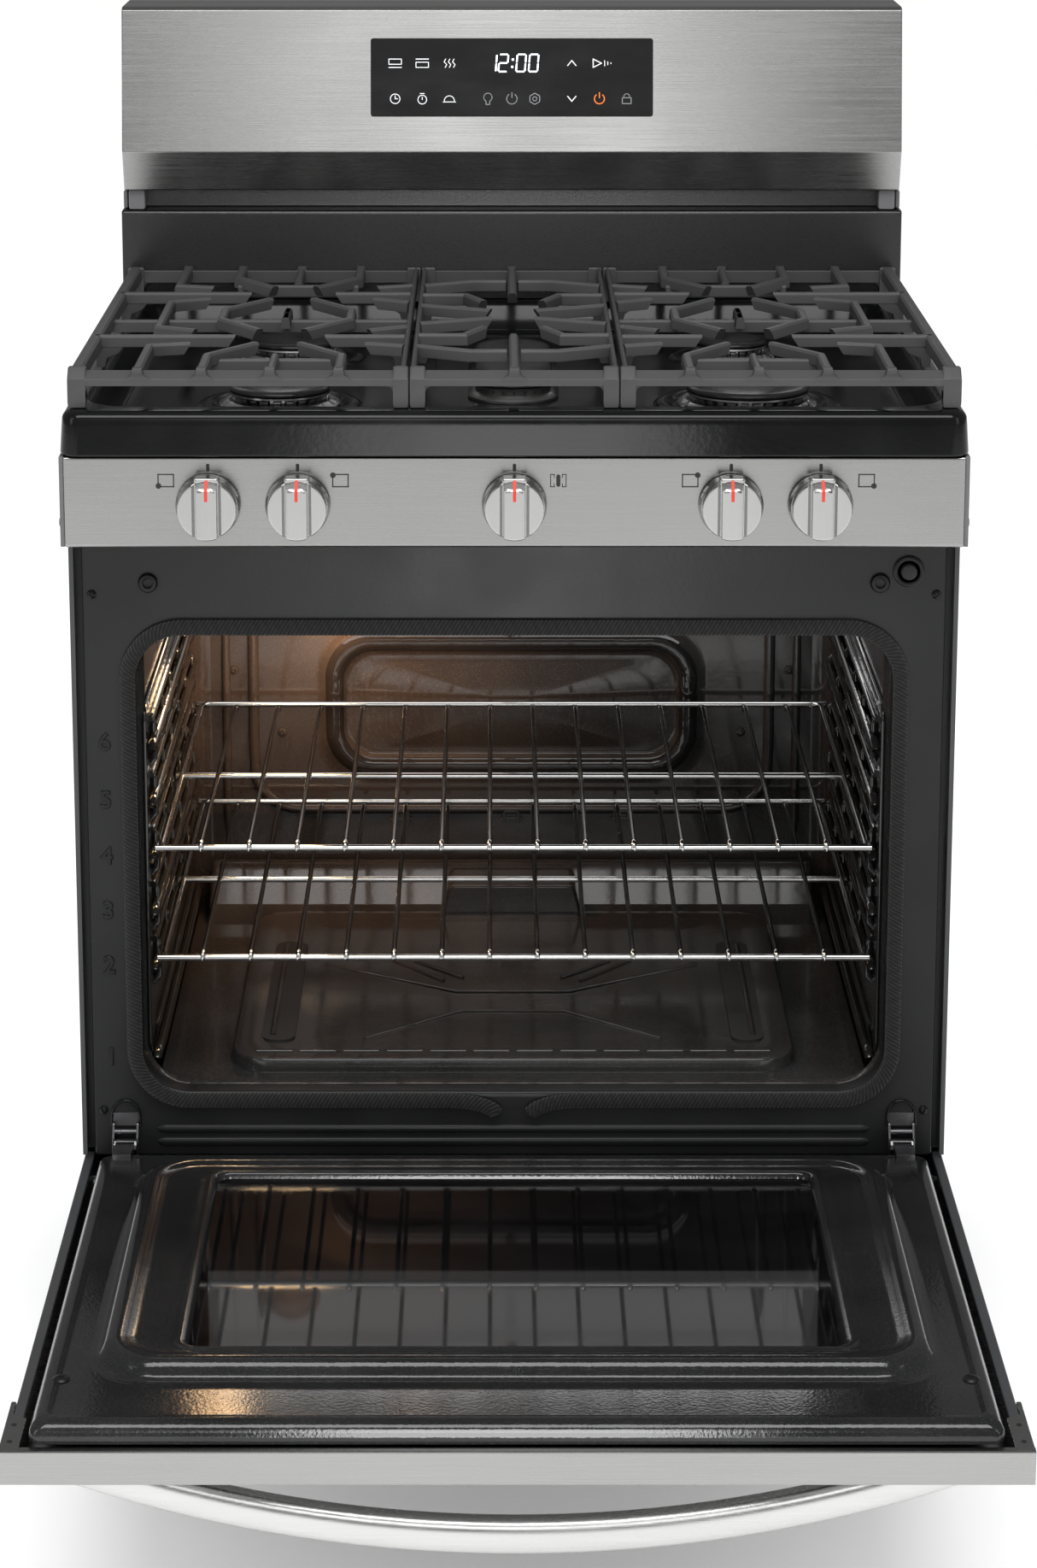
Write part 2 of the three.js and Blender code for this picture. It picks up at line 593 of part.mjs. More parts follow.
function doorLiner() {
  const { flat, raised: high } = DOOR;
  const [low, top] = [13, 532];
  const pan = plate(outline([-360, 360], [low, top], 10), [-16, flat], [5, 5]);
  const panInside = plate(outline([-358, 358], [low + 2, top - 2], 9), [-25, flat - SHEET], [5, 5]);
  const plug = plate(outline([-318, 318], [47, 456], 45), [flat - 12, high], [6, 6]);
  const plugInside = plate(outline([-316, 316], [49, 454], 43), [flat - 14, high - SHEET], [6, 6]);
  const window = plate(outline([-WINDOW.half, WINDOW.half], WINDOW.z, WINDOW.corner), [-30, 30]);
  const wide = WINDOW.half + SHEET;
  const collarZ = [WINDOW.z[0] - SHEET, WINDOW.z[1] + SHEET];
  const collar = plate(outline([-wide, wide], collarZ, WINDOW.corner + SHEET), [7.8, high - 1]);
  const notches = [-1, 1].map((s) => box([s * 322, s * 365], [-30, 30], [0, 36]));
  const sheet = cut(joined([pan, plug]), [panInside, plugInside]);
  return cut(joined([sheet, collar]), [window, ...notches]);
}

const innerGlass = () => plate(outline([-264, 264], [77, 436], 6), [3.5, 7.5], [0, 0], 2);
const outerGlass = () => plate(outline([-300, 300], [70, 446], 6), [DOOR.outer + SHEET + GAP, -37], [0, 0], 2);

// A bowed bar of oval section whose two ends run down onto the door's face.
function doorHandle() {
  const reach = -106;
  const thick = 28;
  const z = [510, 532];
  const half = 345;
  const sag = DOOR.outer - reach;
  const radius = (half * half + sag * sag) / (2 * sag);
  const bow = (r, drop) => {
    const swing = Math.acos((radius - sag + drop) / r);
    return { r, from: -Math.PI / 2 - swing, to: -Math.PI / 2 + swing };
  };
  const centreY = reach + radius;
  const face = DOOR.outer - GAP;
  const shape = new THREE.Shape();
  const outer = bow(radius, 0);
  const inner = bow(radius - thick, 0);
  shape.absarc(0, centreY, outer.r, outer.from, outer.to, false);
  shape.absarc(0, centreY, inner.r, inner.to, inner.from, true);
  const body = slab(shape, z, [6, 5], 10);
  return body.subtract(box([-500, 500], [face, face + 500], [400, 600]));
}

// The hinge's channel in the door, with its pivot ears round the pin.
function hingeBody() {
  const channel = box([-10, 10], [-34, -18], [16, 190]);
  const arm = box([-8, 8], [-24, 6], [4, 34]);
  const knuckle = rod([-10, 0, 0], [10, 0, 0], 7, 12);
  const neck = box([-8, 8], [-5, 5], [0, 8]);
  return joined([channel, arm, knuckle, neck]);
}

// ---------- storage drawer ----------
function drawerFront() {
  const face = box([-376, 376], [-8, 18], DRAWER_Z);
  const back = box([-374, 374], [-6, 25], [DRAWER_Z[0] + 2, DRAWER_Z[1] - 24]);
  const grip = box([-150, 150], [2, 25], [DRAWER_Z[1] - 22, DRAWER_Z[1] - 2]);
  return cut(face, [back, grip]);
}

function drawerBox() {
  const outside = box([-350, 350], [18 + GAP, 590], [60, 184]);
  const inside = box([-348, 348], [20 + GAP, 588], [62, 190]);
  return outside.subtract(inside);
}

// ---------- everything in its place ----------
for (const [side, s] of Object.entries(sides)) {
  place(range, `side_panel_${side}`, sidePanel(s), BLACK_PAINT);
  place(range, `rack_guide_${side}`, rackGuide(s), PORCELAIN);
  const leg = levellingLeg();
  place(range, `levelling_leg_front_${side}`, leg, ZINC, [s * LEG.x, LEG.y[0], 0]);
  place(range, `levelling_leg_rear_${side}`, leg, ZINC, [s * LEG.x, LEG.y[1], 0]);
}
place(range, 'back_panel', backPanel(), ZINC);
place(range, 'base_pan', basePan(), ZINC);

place(range, 'oven_front_frame', ovenFrontFrame(), PORCELAIN);
place(range, 'oven_cavity', ovenCavity(), PORCELAIN);
place(range, 'oven_floor_panel', ovenFloor(), PORCELAIN);
place(range, 'oven_gasket', ovenGasket(), ROPE, [0, FRAME_Y - 4 - GAP, 0]);
place(range, 'oven_rack_upper', ovenRack(RACK_Z[3]), CHROME);
place(range, 'oven_rack_lower', ovenRack(RACK_Z[1]), CHROME);
place(range, 'bake_burner', bakeBurner(), ZINC);
place(range, 'broil_burner', broilBurner(), ZINC);
place(range, 'oven_lamp', ovenLamp(), GLASS, [-225, CAVITY.back - GAP, 655]);

place(range, 'cooktop', cooktop(), PORCELAIN);
for (const burner of BURNERS) {
  place(range, `burner_head_${burner.name}`, burnerHead(burner), ALUMINIUM, [burner.x, burner.y, WELL_Z]);
  place(range, `burner_cap_${burner.name}`, burnerCap(burner), BLACK_PAINT, [burner.x, burner.y, WELL_Z]);
}
place(range, 'grate_left', sideGrate(-1), CAST_IRON);
place(range, 'grate_centre', centreGrate(), CAST_IRON);
place(range, 'grate_right', sideGrate(1), CAST_IRON);

place(range, 'control_panel', controlPanel(), STAINLESS);
place(range, 'panel_bracket', panelBracket(), GREY_PLASTIC);
place(range, 'gas_manifold', gasManifold(), ZINC);
for (const [name, x] of Object.entries(KNOB_X)) {
  place(range, `knob_${name}`, knob(), STAINLESS, [x, 0, KNOB_Z]);
  place(range, `valve_stem_${name}`, valveStem(), ALUMINIUM, [x, 0, KNOB_Z]);
}
place(range, 'lamp_switch_plunger', switchPlunger(), GREY_PLASTIC, [SWITCH.x, FRAME_Y, SWITCH.z]);

place(range, 'backguard_lower', backguardLower(), BLACK_PAINT);
place(range, 'backguard_head', backguardHead(), STAINLESS);
place(range, 'display_glass', glassBlock(0), GLASS);

const door = new THREE.Group();
door.position.set(0, PIVOT.y, PIVOT.z);
door.rotation.x = Math.PI / 2;
range.add(door);
place(door, 'door_skin', doorSkin(), STAINLESS);
place(door, 'door_top_trim', doorTopTrim(), STAINLESS);
place(door, 'door_liner', doorLiner(), PORCELAIN);
place(door, 'door_glass_inner', innerGlass(), GLASS);
place(door, 'door_glass_outer', outerGlass(), GLASS);
place(door, 'door_handle', doorHandle(), STAINLESS);
for (const [side, s] of Object.entries(sides)) {
  place(door, `door_hinge_${side}`, hingeBody(), ZINC, [s * HINGE_X, 0, 0]);
}

place(range, 'drawer_front', drawerFront(), STAINLESS);
place(range, 'drawer_box', drawerBox(), ZINC);

range.position.y = -(FOOTPRINT_Y[0] + FOOTPRINT_Y[1]) / 2;
const model = new THREE.Group();
model.add(range);
export default model;
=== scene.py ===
"""Looks of a freestanding gas range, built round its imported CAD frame.

Sizes in this file are millimetres in the bench frame that the part is drawn in: X is 0 on the centre
line, Y is 0 on the face of the control panel and grows towards the wall, Z is 0 on the floor. The
function row() turns them into Blender's metres. The oven door lies open at rest.
"""
import json
import math
from collections import namedtuple

import bmesh
import bpy
from mathutils import Matrix, Vector


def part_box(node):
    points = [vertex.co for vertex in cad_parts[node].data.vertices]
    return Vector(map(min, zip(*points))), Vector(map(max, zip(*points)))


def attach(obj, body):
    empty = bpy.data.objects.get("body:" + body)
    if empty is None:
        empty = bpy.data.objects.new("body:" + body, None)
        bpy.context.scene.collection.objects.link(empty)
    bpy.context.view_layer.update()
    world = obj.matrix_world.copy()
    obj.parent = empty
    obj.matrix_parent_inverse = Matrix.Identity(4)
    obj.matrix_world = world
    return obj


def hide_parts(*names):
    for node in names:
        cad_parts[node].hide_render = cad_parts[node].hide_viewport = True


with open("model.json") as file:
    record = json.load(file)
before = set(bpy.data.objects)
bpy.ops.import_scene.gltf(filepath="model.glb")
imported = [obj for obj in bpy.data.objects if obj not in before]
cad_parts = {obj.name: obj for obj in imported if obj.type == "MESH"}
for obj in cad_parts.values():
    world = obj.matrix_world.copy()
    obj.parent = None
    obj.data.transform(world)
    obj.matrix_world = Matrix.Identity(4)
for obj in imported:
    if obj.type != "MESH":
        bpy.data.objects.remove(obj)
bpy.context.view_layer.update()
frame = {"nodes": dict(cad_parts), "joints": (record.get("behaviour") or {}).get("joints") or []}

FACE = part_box("control_panel")[0][1]      # the control panel's face in the row frame, in metres


def row(point):
    x, y, z = point
    return (x / 1000, y / 1000 + FACE, z / 1000)


# ---------------------------------------------------------------- materials
Look = namedtuple("Look", "material slot")


class Nodes:
    """A material's node tree, with short ways to add what the recipes below share."""

    def __init__(self, name, color, roughness, metallic, **sockets):
        self.material = bpy.data.materials.new(name)
        self.material.use_nodes = True
        self.tree = self.material.node_tree
        self.shader = self.tree.nodes["Principled BSDF"]
        self.set(self.shader, **{"Base Color": (*color, 1), "Roughness": roughness, "Metallic": metallic})
        self.set(self.shader, **sockets)
        self.material.diffuse_color = (*color, 1)
        self.coordinates = self.add("ShaderNodeTexCoord").outputs["Object"]

    def set(self, node, **values):
        for socket, value in values.items():
            node.inputs[socket.replace("_", " ")].default_value = value

    def add(self, kind, inputs=None, **properties):
        node = self.tree.nodes.new(kind)
        for key, value in properties.items():
            setattr(node, key, value)
        for socket, value in (inputs or {}).items():
            if isinstance(value, bpy.types.NodeSocket):
                self.tree.links.new(value, node.inputs[socket])
            else:
                node.inputs[socket].default_value = value
        return node

    def noise(self, scale, stretch=(1, 1, 1), detail=3.0, rough=0.55):
        mapped = self.add("ShaderNodeMapping", {"Vector": self.coordinates, "Scale": stretch})
        made = self.add("ShaderNodeTexNoise", {
            "Vector": mapped.outputs[0], "Scale": scale, "Detail": detail, "Roughness": rough})
        return made.outputs["Fac"]

    def spread(self, value, low, high, start=0.3, end=0.7):
        """The value's range start..end spread over low..high."""
        made = self.add("ShaderNodeMapRange", {
            "Value": value, "From Min": start, "From Max": end, "To Min": low, "To Max": high})
        return made.outputs[0]

    def mix(self, factor, a, b):
        made = self.add("ShaderNodeMix", data_type="RGBA")
        made.inputs[0].default_value = 0.5
        for index, value in ((0, factor), (6, a), (7, b)):
            if isinstance(value, bpy.types.NodeSocket):
                self.tree.links.new(value, made.inputs[index])
            else:
                made.inputs[index].default_value = value
        return made.outputs[2]

    def tone(self, value, low, high, a, b):
        """The base colour runs from a to b with the value's spread."""
        self.drive("Base Color", self.mix(self.spread(value, low, high), a, b))

    def drive(self, socket, value):
        self.tree.links.new(value, self.shader.inputs[socket])

    def bump(self, height, strength, distance, below=None):
        inputs = {"Height": height, "Strength": strength, "Distance": distance}
        if below is not None:
            inputs["Normal"] = below
        made = self.add("ShaderNodeBump", inputs).outputs[0]
        self.drive("Normal", made)
        return made


def shade(color, times=1.0, plus=0.0):
    """A colour made darker or lighter, with its alpha."""
    return (*(min(1, c * times + plus) for c in color), 1)


def brushed(name, slot, color, roughness, along=(2.5, 420, 420), grain=0.05):
    """Metal with fine scratches along one direction, faint streaks and a few smudges."""
    n = Nodes(name, color, roughness, 1.0, Anisotropic=0.45, **{"Anisotropic Rotation": 0.25})
    fine = n.noise(1.0, along, detail=4.0, rough=0.7)
    streaks = n.noise(1.0, tuple(a * 0.3 for a in along), detail=2.0)
    smudge = n.noise(5.0, detail=2.0)
    dark = shade(color, 0.90)
    tone = n.mix(n.spread(fine, 0, 1), dark, shade(color, 1.05))
    n.tone(streaks, 0.0, 0.28, tone, dark)
    worn = n.add("ShaderNodeMath", {0: n.spread(fine, -0.05, 0.05), 1: n.spread(smudge, -0.03, 0.04)})
    total = n.add("ShaderNodeMath", {0: worn.outputs[0], 1: roughness})
    n.drive("Roughness", total.outputs[0])
    n.bump(fine, grain, 0.0004)
    return Look(n.material, slot)


def enamel(name, slot, color, roughness, peel=0.03, size=220.0, fleck=0.0, shine=0.5):
    """Fired enamel: a smooth skin with a slight orange peel, and pale flecks if asked for."""
    n = Nodes(name, color, roughness, 0.0, **{"Specular IOR Level": shine})
    skin = n.noise(size, detail=1.5)
    wide = n.noise(9.0, detail=2.0)
    n.drive("Roughness", n.spread(wide, roughness * 0.8, roughness * 1.35))
    tone = n.mix(n.spread(wide, 0, 1), shade(color), shade(color, 1.5, 0.002))
    if fleck:
        spots = n.noise(2600.0, detail=0.0)
        tone = n.mix(n.spread(spots, 0.0, fleck, 0.72, 0.8), tone, (0.5, 0.5, 0.5, 1))
    n.drive("Base Color", tone)
    n.bump(skin, peel, 0.002)
    return Look(n.material, slot)


def cast(name, slot, color, roughness):
    """Sand-cast iron under matte enamel: a fine grain, and paler colour on its sharp edges."""
    n = Nodes(name, color, roughness, 0.0)
    grain = n.noise(1500.0, detail=4.0, rough=0.65)
    cloud = n.noise(22.0, detail=3.0)
    edge = n.add("ShaderNodeNewGeometry").outputs["Pointiness"]
    tone = n.mix(n.spread(cloud, 0, 1), shade(color), shade(color, 0.75))
    n.drive("Base Color", n.mix(n.spread(edge, 0, 0.5, 0.51, 0.58), tone, shade(color, 2.0)))
    n.drive("Roughness", n.spread(grain, roughness - 0.08, roughness + 0.12))
    n.bump(grain, 0.25, 0.0006)
    return Look(n.material, slot)


def polished(name, slot, color, roughness):
    """Bright wire or plate with faint draw marks."""
    n = Nodes(name, color, roughness, 1.0)
    marks = n.noise(380.0, detail=3.0)
    stain = n.noise(14.0, detail=2.0)
    n.drive("Roughness", n.spread(stain, roughness * 0.7, roughness * 1.8))
    n.tone(stain, 0, 0.6, shade(color), shade(color, 0.8))
    n.bump(marks, 0.04, 0.0004)
    return Look(n.material, slot)


def moulded(name, slot, color, roughness, shine=0.5):
    """Plastic, rubber or thick paint with a fine spark-eroded grain."""
    n = Nodes(name, color, roughness, 0.0, **{"Specular IOR Level": shine})
    grain = n.noise(900.0, detail=3.0)
    wide = n.noise(16.0)
    n.tone(wide, 0, 1, shade(color), shade(color, 1.12, 0.001))
    n.drive("Roughness", n.spread(grain, roughness - 0.06, roughness + 0.08))
    n.bump(grain, 0.12, 0.0005)
    return Look(n.material, slot)


def dark_glass(name, slot, color, roughness=0.03, shine=0.5):
    """Tinted glass over black, with the faint haze that wiping leaves."""
    n = Nodes(name, color, roughness, 0.0, IOR=1.5, **{"Specular IOR Level": shine})
    haze = n.noise(11.0, (1, 2.5, 2.5), detail=4.0)
    n.drive("Roughness", n.spread(haze, roughness, roughness * 2.4))
    n.tone(haze, 0, 1, shade(color), shade(color, 1.6, 0.001))
    return Look(n.material, slot)


def braided(name, slot, color):
    """Woven glass-fibre rope: two sets of strands that cross along its length."""
    n = Nodes(name, color, 0.9, 0.0, **{"Sheen Weight": 0.08, "Specular IOR Level": 0.3})
    uv = n.add("ShaderNodeTexCoord").outputs["UV"]
    split = n.add("ShaderNodeSeparateXYZ", {"Vector": uv})
    strands = []
    for lean, count in ((6.5, 2.0), (-2.0, 0.8)):
        across = n.add("ShaderNodeMath", {0: split.outputs[1], 1: lean}, operation="MULTIPLY")
        along = n.add("ShaderNodeMath", {0: split.outputs[0], 1: count}, operation="MULTIPLY")
        run = n.add("ShaderNodeMath", {0: along.outputs[0], 1: across.outputs[0]})
        turn = n.add("ShaderNodeMath", {0: run.outputs[0], 1: 2 * math.pi}, operation="MULTIPLY")
        strands.append(n.add("ShaderNodeMath", {0: turn.outputs[0]}, operation="SINE").outputs[0])
    soft = n.add("ShaderNodeMath", {0: strands[1], 1: 0.35}, operation="MULTIPLY").outputs[0]
    weave = n.add("ShaderNodeMath", {0: strands[0], 1: soft}).outputs[0]
    fuzz = n.noise(2200.0, detail=3.0)
    n.drive("Base Color", n.mix(n.spread(weave, 0, 0.8, -0.2, 1.0), shade(color), shade(color, 3.6)))
    below = n.bump(fuzz, 0.2, 0.0005)
    n.bump(weave, 0.6, 0.001, below)
    return Look(n.material, slot)


def printed(name, slot, color, glow=0.0):
    """A thin printed or lit mark."""
    n = Nodes(name, color, 0.5, 0.0)
    grain = n.noise(1200.0)
    n.tone(grain, 0, 1, shade(color), shade(color, 0.85))
    if glow:
        n.set(n.shader, **{"Emission Color": (*color, 1), "Emission Strength": glow})
    return Look(n.material, slot)


STEEL = brushed("brushed_stainless", "stainless", (0.352, 0.352, 0.348), 0.26, (9, 1100, 1100))
# A lighter copy of the brushed stainless, for the handle: its colour holds a painted highlight.
LIT_HANDLE_STEEL = brushed("brushed_stainless_lit_handle", "stainless", (0.60, 0.60, 0.595), 0.24, (9, 1100, 1100))
KNOB_STEEL = brushed("brushed_knob", "stainless", (0.46, 0.46, 0.456), 0.20, (1100, 1100, 14), 0.03)
GLOSS_BLACK = enamel("gloss_black_enamel", "porcelain", (0.0025, 0.0026, 0.0028), 0.14, 0.02, shine=0.24)
LINER_BLACK = enamel("liner_enamel", "porcelain", (0.0045, 0.0046, 0.0048), 0.10, 0.05, 380.0, 0.15, 0.45)
OVEN_BLACK = enamel("oven_enamel", "porcelain", (0.0125, 0.0121, 0.0117), 0.11, 0.03, 120.0, 0.25)
FRAME_BLACK = enamel("frame_enamel", "frame_porcelain", (0.006, 0.0062, 0.0065), 0.30, 0.04, 260.0, shine=0.21)
LADDER_BLACK = enamel("ladder_enamel", "porcelain", (0.006, 0.006, 0.006), 0.07, 0.14, 90.0, shine=0.6)
GUARD_BLACK = moulded("guard_enamel", "black_paint", (0.0035, 0.0035, 0.0038), 0.30, 0.6)
SATIN_BLACK = moulded("satin_black_paint", "black_paint", (0.005, 0.005, 0.0055), 0.34, 0.3)
SIDE_GREY = moulded("side_paint", "black_paint", (0.035, 0.036, 0.038), 0.45)
CAP_BLACK = enamel("cap_enamel", "black_paint", (0.008, 0.008, 0.008), 0.24, 0.02, shine=0.35)
IRON = cast("cast_iron", "cast_iron", (0.031, 0.031, 0.032), 0.50)
CHROME = polished("chrome_wire", "chrome", (0.62, 0.62, 0.61), 0.12)
# A darker copy of the chrome for the racks' long wires: painted shade for the dark oven they reflect.
SHADED_WIRE = polished("rack_wire_shaded", "chrome", (0.15, 0.15, 0.147), 0.16)
BRIGHT_STEEL = polished("bright_steel", "zinc", (0.56, 0.56, 0.57), 0.22)
HINGE_STEEL = polished("hinge_steel", "zinc", (0.16, 0.16, 0.165), 0.20)
CASTING = polished("burner_casting", "aluminium", (0.24, 0.238, 0.235), 0.30)
ZINC = moulded("zinc_plate", "zinc", (0.28, 0.285, 0.29), 0.42)
GREY_PLASTIC = moulded("grey_plastic", "grey_plastic", (0.10, 0.10, 0.105), 0.45)
RUBBER = moulded("black_rubber", "grey_plastic", (0.012, 0.012, 0.012), 0.7)
DISPLAY = dark_glass("display_glass", "glass", (0.005, 0.005, 0.0055), 0.16, 0.14)
WINDOW = dark_glass("window_glass", "glass", (0.0015, 0.0015, 0.0018), 0.02, 0.26)
ROPE = braided("gasket_rope", "rope", (0.0045, 0.0045, 0.0047))
INK = printed("black_ink", "grey_plastic", (0.012, 0.012, 0.012))
RED = printed("red_index", "grey_plastic", (0.62, 0.035, 0.015))
WHITE_MARK = printed("white_mark", "glass", (0.75, 0.76, 0.78), 0.55)
CLOCK_MARK = printed("clock_digit", "glass", (0.9, 0.95, 1.0), 1.6)
GREY_MARK = printed("grey_mark", "glass", (0.30, 0.31, 0.32), 0.12)
AMBER_MARK = printed("amber_mark", "glass", (0.85, 0.20, 0.03), 0.6)


# ---------------------------------------------------------------- mesh building
SIDES = (-1, 1)
UP = (0, 0, 1)
TO_ROOM = (0, -1, 0)


class Shape:
    """Corners and faces gathered from one or more closed shells."""

    def __init__(self):
        self.corners = []
        self.faces = []

    def add(self, corners, faces):
        start = len(self.corners)
        self.corners += [tuple(c) for c in corners]
        self.faces += [tuple(i + start for i in face) for face in faces]
        return self


# Where an outline's (u, v) and its thickness w go in the bench frame.
def lying(u, v, w):
    return (u, v, w)


def upright(u, v, w):
    return (u, w, v)


def sideways(u, v, w):
    return (w, u, v)


def fillet(corners, radii, steps=5):
    """A closed outline with its corners rounded. radii is one number or one for each corner."""
    if isinstance(radii, (int, float)):
        radii = [radii] * len(corners)
    out = []
    for i, (corner, r) in enumerate(zip(corners, radii)):
        p = Vector(corner)
        a = Vector(corners[i - 1]) - p
        b = Vector(corners[(i + 1) % len(corners)]) - p
        a_unit, b_unit = a.normalized(), b.normalized()
        half = a_unit.angle(b_unit) / 2
        reach = min(r / math.tan(half), a.length * 0.49, b.length * 0.49)
        r = reach * math.tan(half)
        middle = p + (a_unit + b_unit).normalized() * (r / math.sin(half))
        start = p + a_unit * reach - middle
        turned = start.angle_signed(p + b_unit * reach - middle)
        for k in range(steps + 1):
            out.append(tuple(middle + Matrix.Rotation(-turned * k / steps, 2) @ start))
    return out


def rounded(u, v, r, steps=8):
    """A rounded rectangle's corners, the same number whatever its size."""
    (u0, u1), (v0, v1) = u, v
    out = []
    for cu, cv, start in ((u1 - r, v0 + r, -90), (u1 - r, v1 - r, 0),
                          (u0 + r, v1 - r, 90), (u0 + r, v0 + r, 180)):
        for k in range(steps + 1):
            angle = math.radians(start + 90 * k / steps)
            out.append((cu + r * math.cos(angle), cv + r * math.sin(angle)))
    return out


def rim(place, half, v, r, w, steps=8, x=0):
    """A rounded rectangle of that half width about x, put in place at w, as one ring of a loft."""
    return [place(a, b, w) for a, b in rounded((x - half, x + half), v, r, steps)]


def circle(radius, sides=12):
    return oval(radius, radius, sides)


def oval(across, up, sides=12):
    """The corners of an ellipse round the origin, from its two half widths."""
    turn = (2 * math.pi * k / sides for k in range(sides))
    return [(across * math.cos(a), up * math.sin(a)) for a in turn]


def loft(shape, rings, closed=False):
    """Skins a row of rings that have equal numbers of corners. An open row gets flat ends."""
    count = len(rings[0])
    faces = []
    for i in range(len(rings) if closed else len(rings) - 1):
        a, b = i * count, ((i + 1) % len(rings)) * count
        for k in range(count):
            n = (k + 1) % count
            faces.append((a + k, a + n, b + n, b + k))
    if not closed:
        end = (len(rings) - 1) * count
        faces.append(tuple(range(count)))
        faces.append(tuple(end + k for k in reversed(range(count))))
    return shape.add([c for ring in rings for c in ring], faces)


def directions(points, i):
    """The path's directions into and out of a point, its tangent there, and the mitre's stretch."""
    a = (points[i] - points[i - 1]).normalized() if i else None
    b = (points[i + 1] - points[i]).normalized() if i < len(points) - 1 else None
    stretch = 1 / max(0.4, math.sqrt(max(0.0, (1 + a.dot(b)) / 2))) if a is not None and b is not None else 1.0
    return ((a or b) + (b or a)).normalized(), stretch


def sweep(shape, path, section, up=None, widths=None):
    """A section of (side, up) corners carried along a path, mitred where a flat path bends."""
    points = [Vector(p) for p in path]
    rings = []
    side = None
    for i, p in enumerate(points):
        tangent, stretch = directions(points, i)
        if up is not None:
            side = tangent.cross(Vector(up)).normalized()
        else:
            stretch = 1.0
            if side is None:
                side = tangent.cross(Vector(UP if abs(tangent.z) < 0.9 else (1, 0, 0))).normalized()
            else:
                side = (side - tangent * side.dot(tangent)).normalized()
        lift = side.cross(tangent).normalized()
        size = widths[i] if widths else 1.0
        rings.append([p + side * (s * size * stretch) + lift * (t * size) for s, t in section])
    return loft(shape, rings)


def lathe(shape, profile, centre, axis="z", segments=48, wave=None):
    """A profile of (radius, height) turned round a line. wave(angle, index) scales a radius."""
    cx, cy, cz = centre
    rings = []
    for index, (r, h) in enumerate(profile):
        ring = []
        for k in range(segments):
            angle = 2 * math.pi * k / segments
            size = max(r, 0.02) * (wave(angle, index) if wave else 1)
            c, s = size * math.cos(angle), size * math.sin(angle)
            ring.append((cx + c, cy + s, cz + h) if axis == "z" else (cx + c, cy - h, cz + s))
        rings.append(ring)
    return loft(shape, rings)


def slab(shape, outline, place, low, high, soften=0.6, steps=2):
    """A flat outline given thickness from low to high, its edges rounded."""
    middle = [sum(p[i] for p in outline) / len(outline) for i in (0, 1)]
    reach = max(abs(p[i] - middle[i]) for p in outline for i in (0, 1))
    soften = min(soften, (high - low) / 2.05, reach * 0.4)
    turn = [math.pi / 2 * k / steps for k in range(steps + 1)]
    rows = [(soften * (1 - math.sin(a)), low + soften * (1 - math.cos(a))) for a in turn]
    rows += [(soften * (1 - math.cos(a)), high - soften * (1 - math.sin(a))) for a in turn]
    return loft(shape, [[place(*p, w) for p in inset_outline(outline, inset)] for inset, w in rows])


def inset_outline(outline, inset):
    """The outline moved inwards by a small distance, corner by corner."""
    if not inset:
        return outline
    area = sum(a[0] * b[1] - b[0] * a[1] for a, b in zip(outline, outline[1:] + outline[:1]))
    sign = 1 if area > 0 else -1
    out = []
    for i, p in enumerate(outline):
        a = Vector(p) - Vector(outline[i - 1])
        b = Vector(outline[(i + 1) % len(outline)]) - Vector(p)
        a = a.normalized() if a.length > 1e-9 else b.normalized()
        b = b.normalized() if b.length > 1e-9 else a
        normal = Vector((-(a.y + b.y), a.x + b.x))
        if normal.length < 1e-9:
            out.append(tuple(p))
            continue
        normal.normalize()
        scale = 1 / max(0.5, Vector((-a.y, a.x)).dot(normal))
        out.append(tuple(Vector(p) + normal * sign * inset * scale))
    return out


def block(shape, x, y, z, soften=0.8):
    """A box with rounded edges on all twelve sides."""
    x, (y0, y1), z = sorted(x), sorted(y), sorted(z)
    r = min(soften * 1.5, (x[1] - x[0]) / 2.2, (z[1] - z[0]) / 2.2)
    return slab(shape, rounded(x, z, r, 3), upright, y0, y1, soften)


def bar_x(shape, outline, x, soften=1.0):
    """A (y, z) outline drawn out between two values of x, with softened end edges."""
    return slab(shape, outline, sideways, x[0], x[1], soften, 3)


def screw(shape, x, y, z, r=4.0):
    """A pan-head screw facing the room, with a cross recess drawn as four petals."""
    profile = [(0, 0), (r, 0), (r, 0.9), (r * 0.88, 1.9), (r * 0.55, 2.6), (r * 0.30, 2.7), (r * 0.22, 1.4),
               (0, 1.3)]
    return lathe(shape, profile, (x, y, z), "y", 24, cross_recess(0.5))


def cross_recess(depth):
    return lambda angle, index: 1 + (depth * abs(math.cos(2 * angle)) if index in (5, 6) else 0)


def piece(name, shape, look, body="range_body", replaces=(), crease=38.0, uv=None):
    """One finished mesh that rides on a body and takes a material slot's finish."""
    mesh = bpy.data.meshes.new(name)
    mesh.from_pydata([row(c) for c in shape.corners], [], shape.faces)
    made = bmesh.new()
    made.from_mesh(mesh)
    bmesh.ops.recalc_face_normals(made, faces=made.faces)
    made.to_mesh(mesh)
    made.free()
    if uv:
        layer = mesh.uv_layers.new(name="along")
        for loop in mesh.loops:
            layer.data[loop.index].uv = uv[loop.vertex_index]
    mesh.shade_smooth()
    mesh.set_sharp_from_angle(angle=math.radians(crease))
    obj = joined_to(mesh, name, look, body)
    even = obj.modifiers.new("even", "WEIGHTED_NORMAL")
    even.keep_sharp, even.weight = True, 80
    if replaces:
        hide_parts(*replaces)
    return obj


def joined_to(mesh, name, look, body="range_body"):
    """An object of that mesh, with its look, riding on its body."""
    mesh.materials.append(look.material)
    obj = bpy.data.objects.new(name, mesh)
    bpy.context.collection.objects.link(obj)
    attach(obj, body)
    return obj


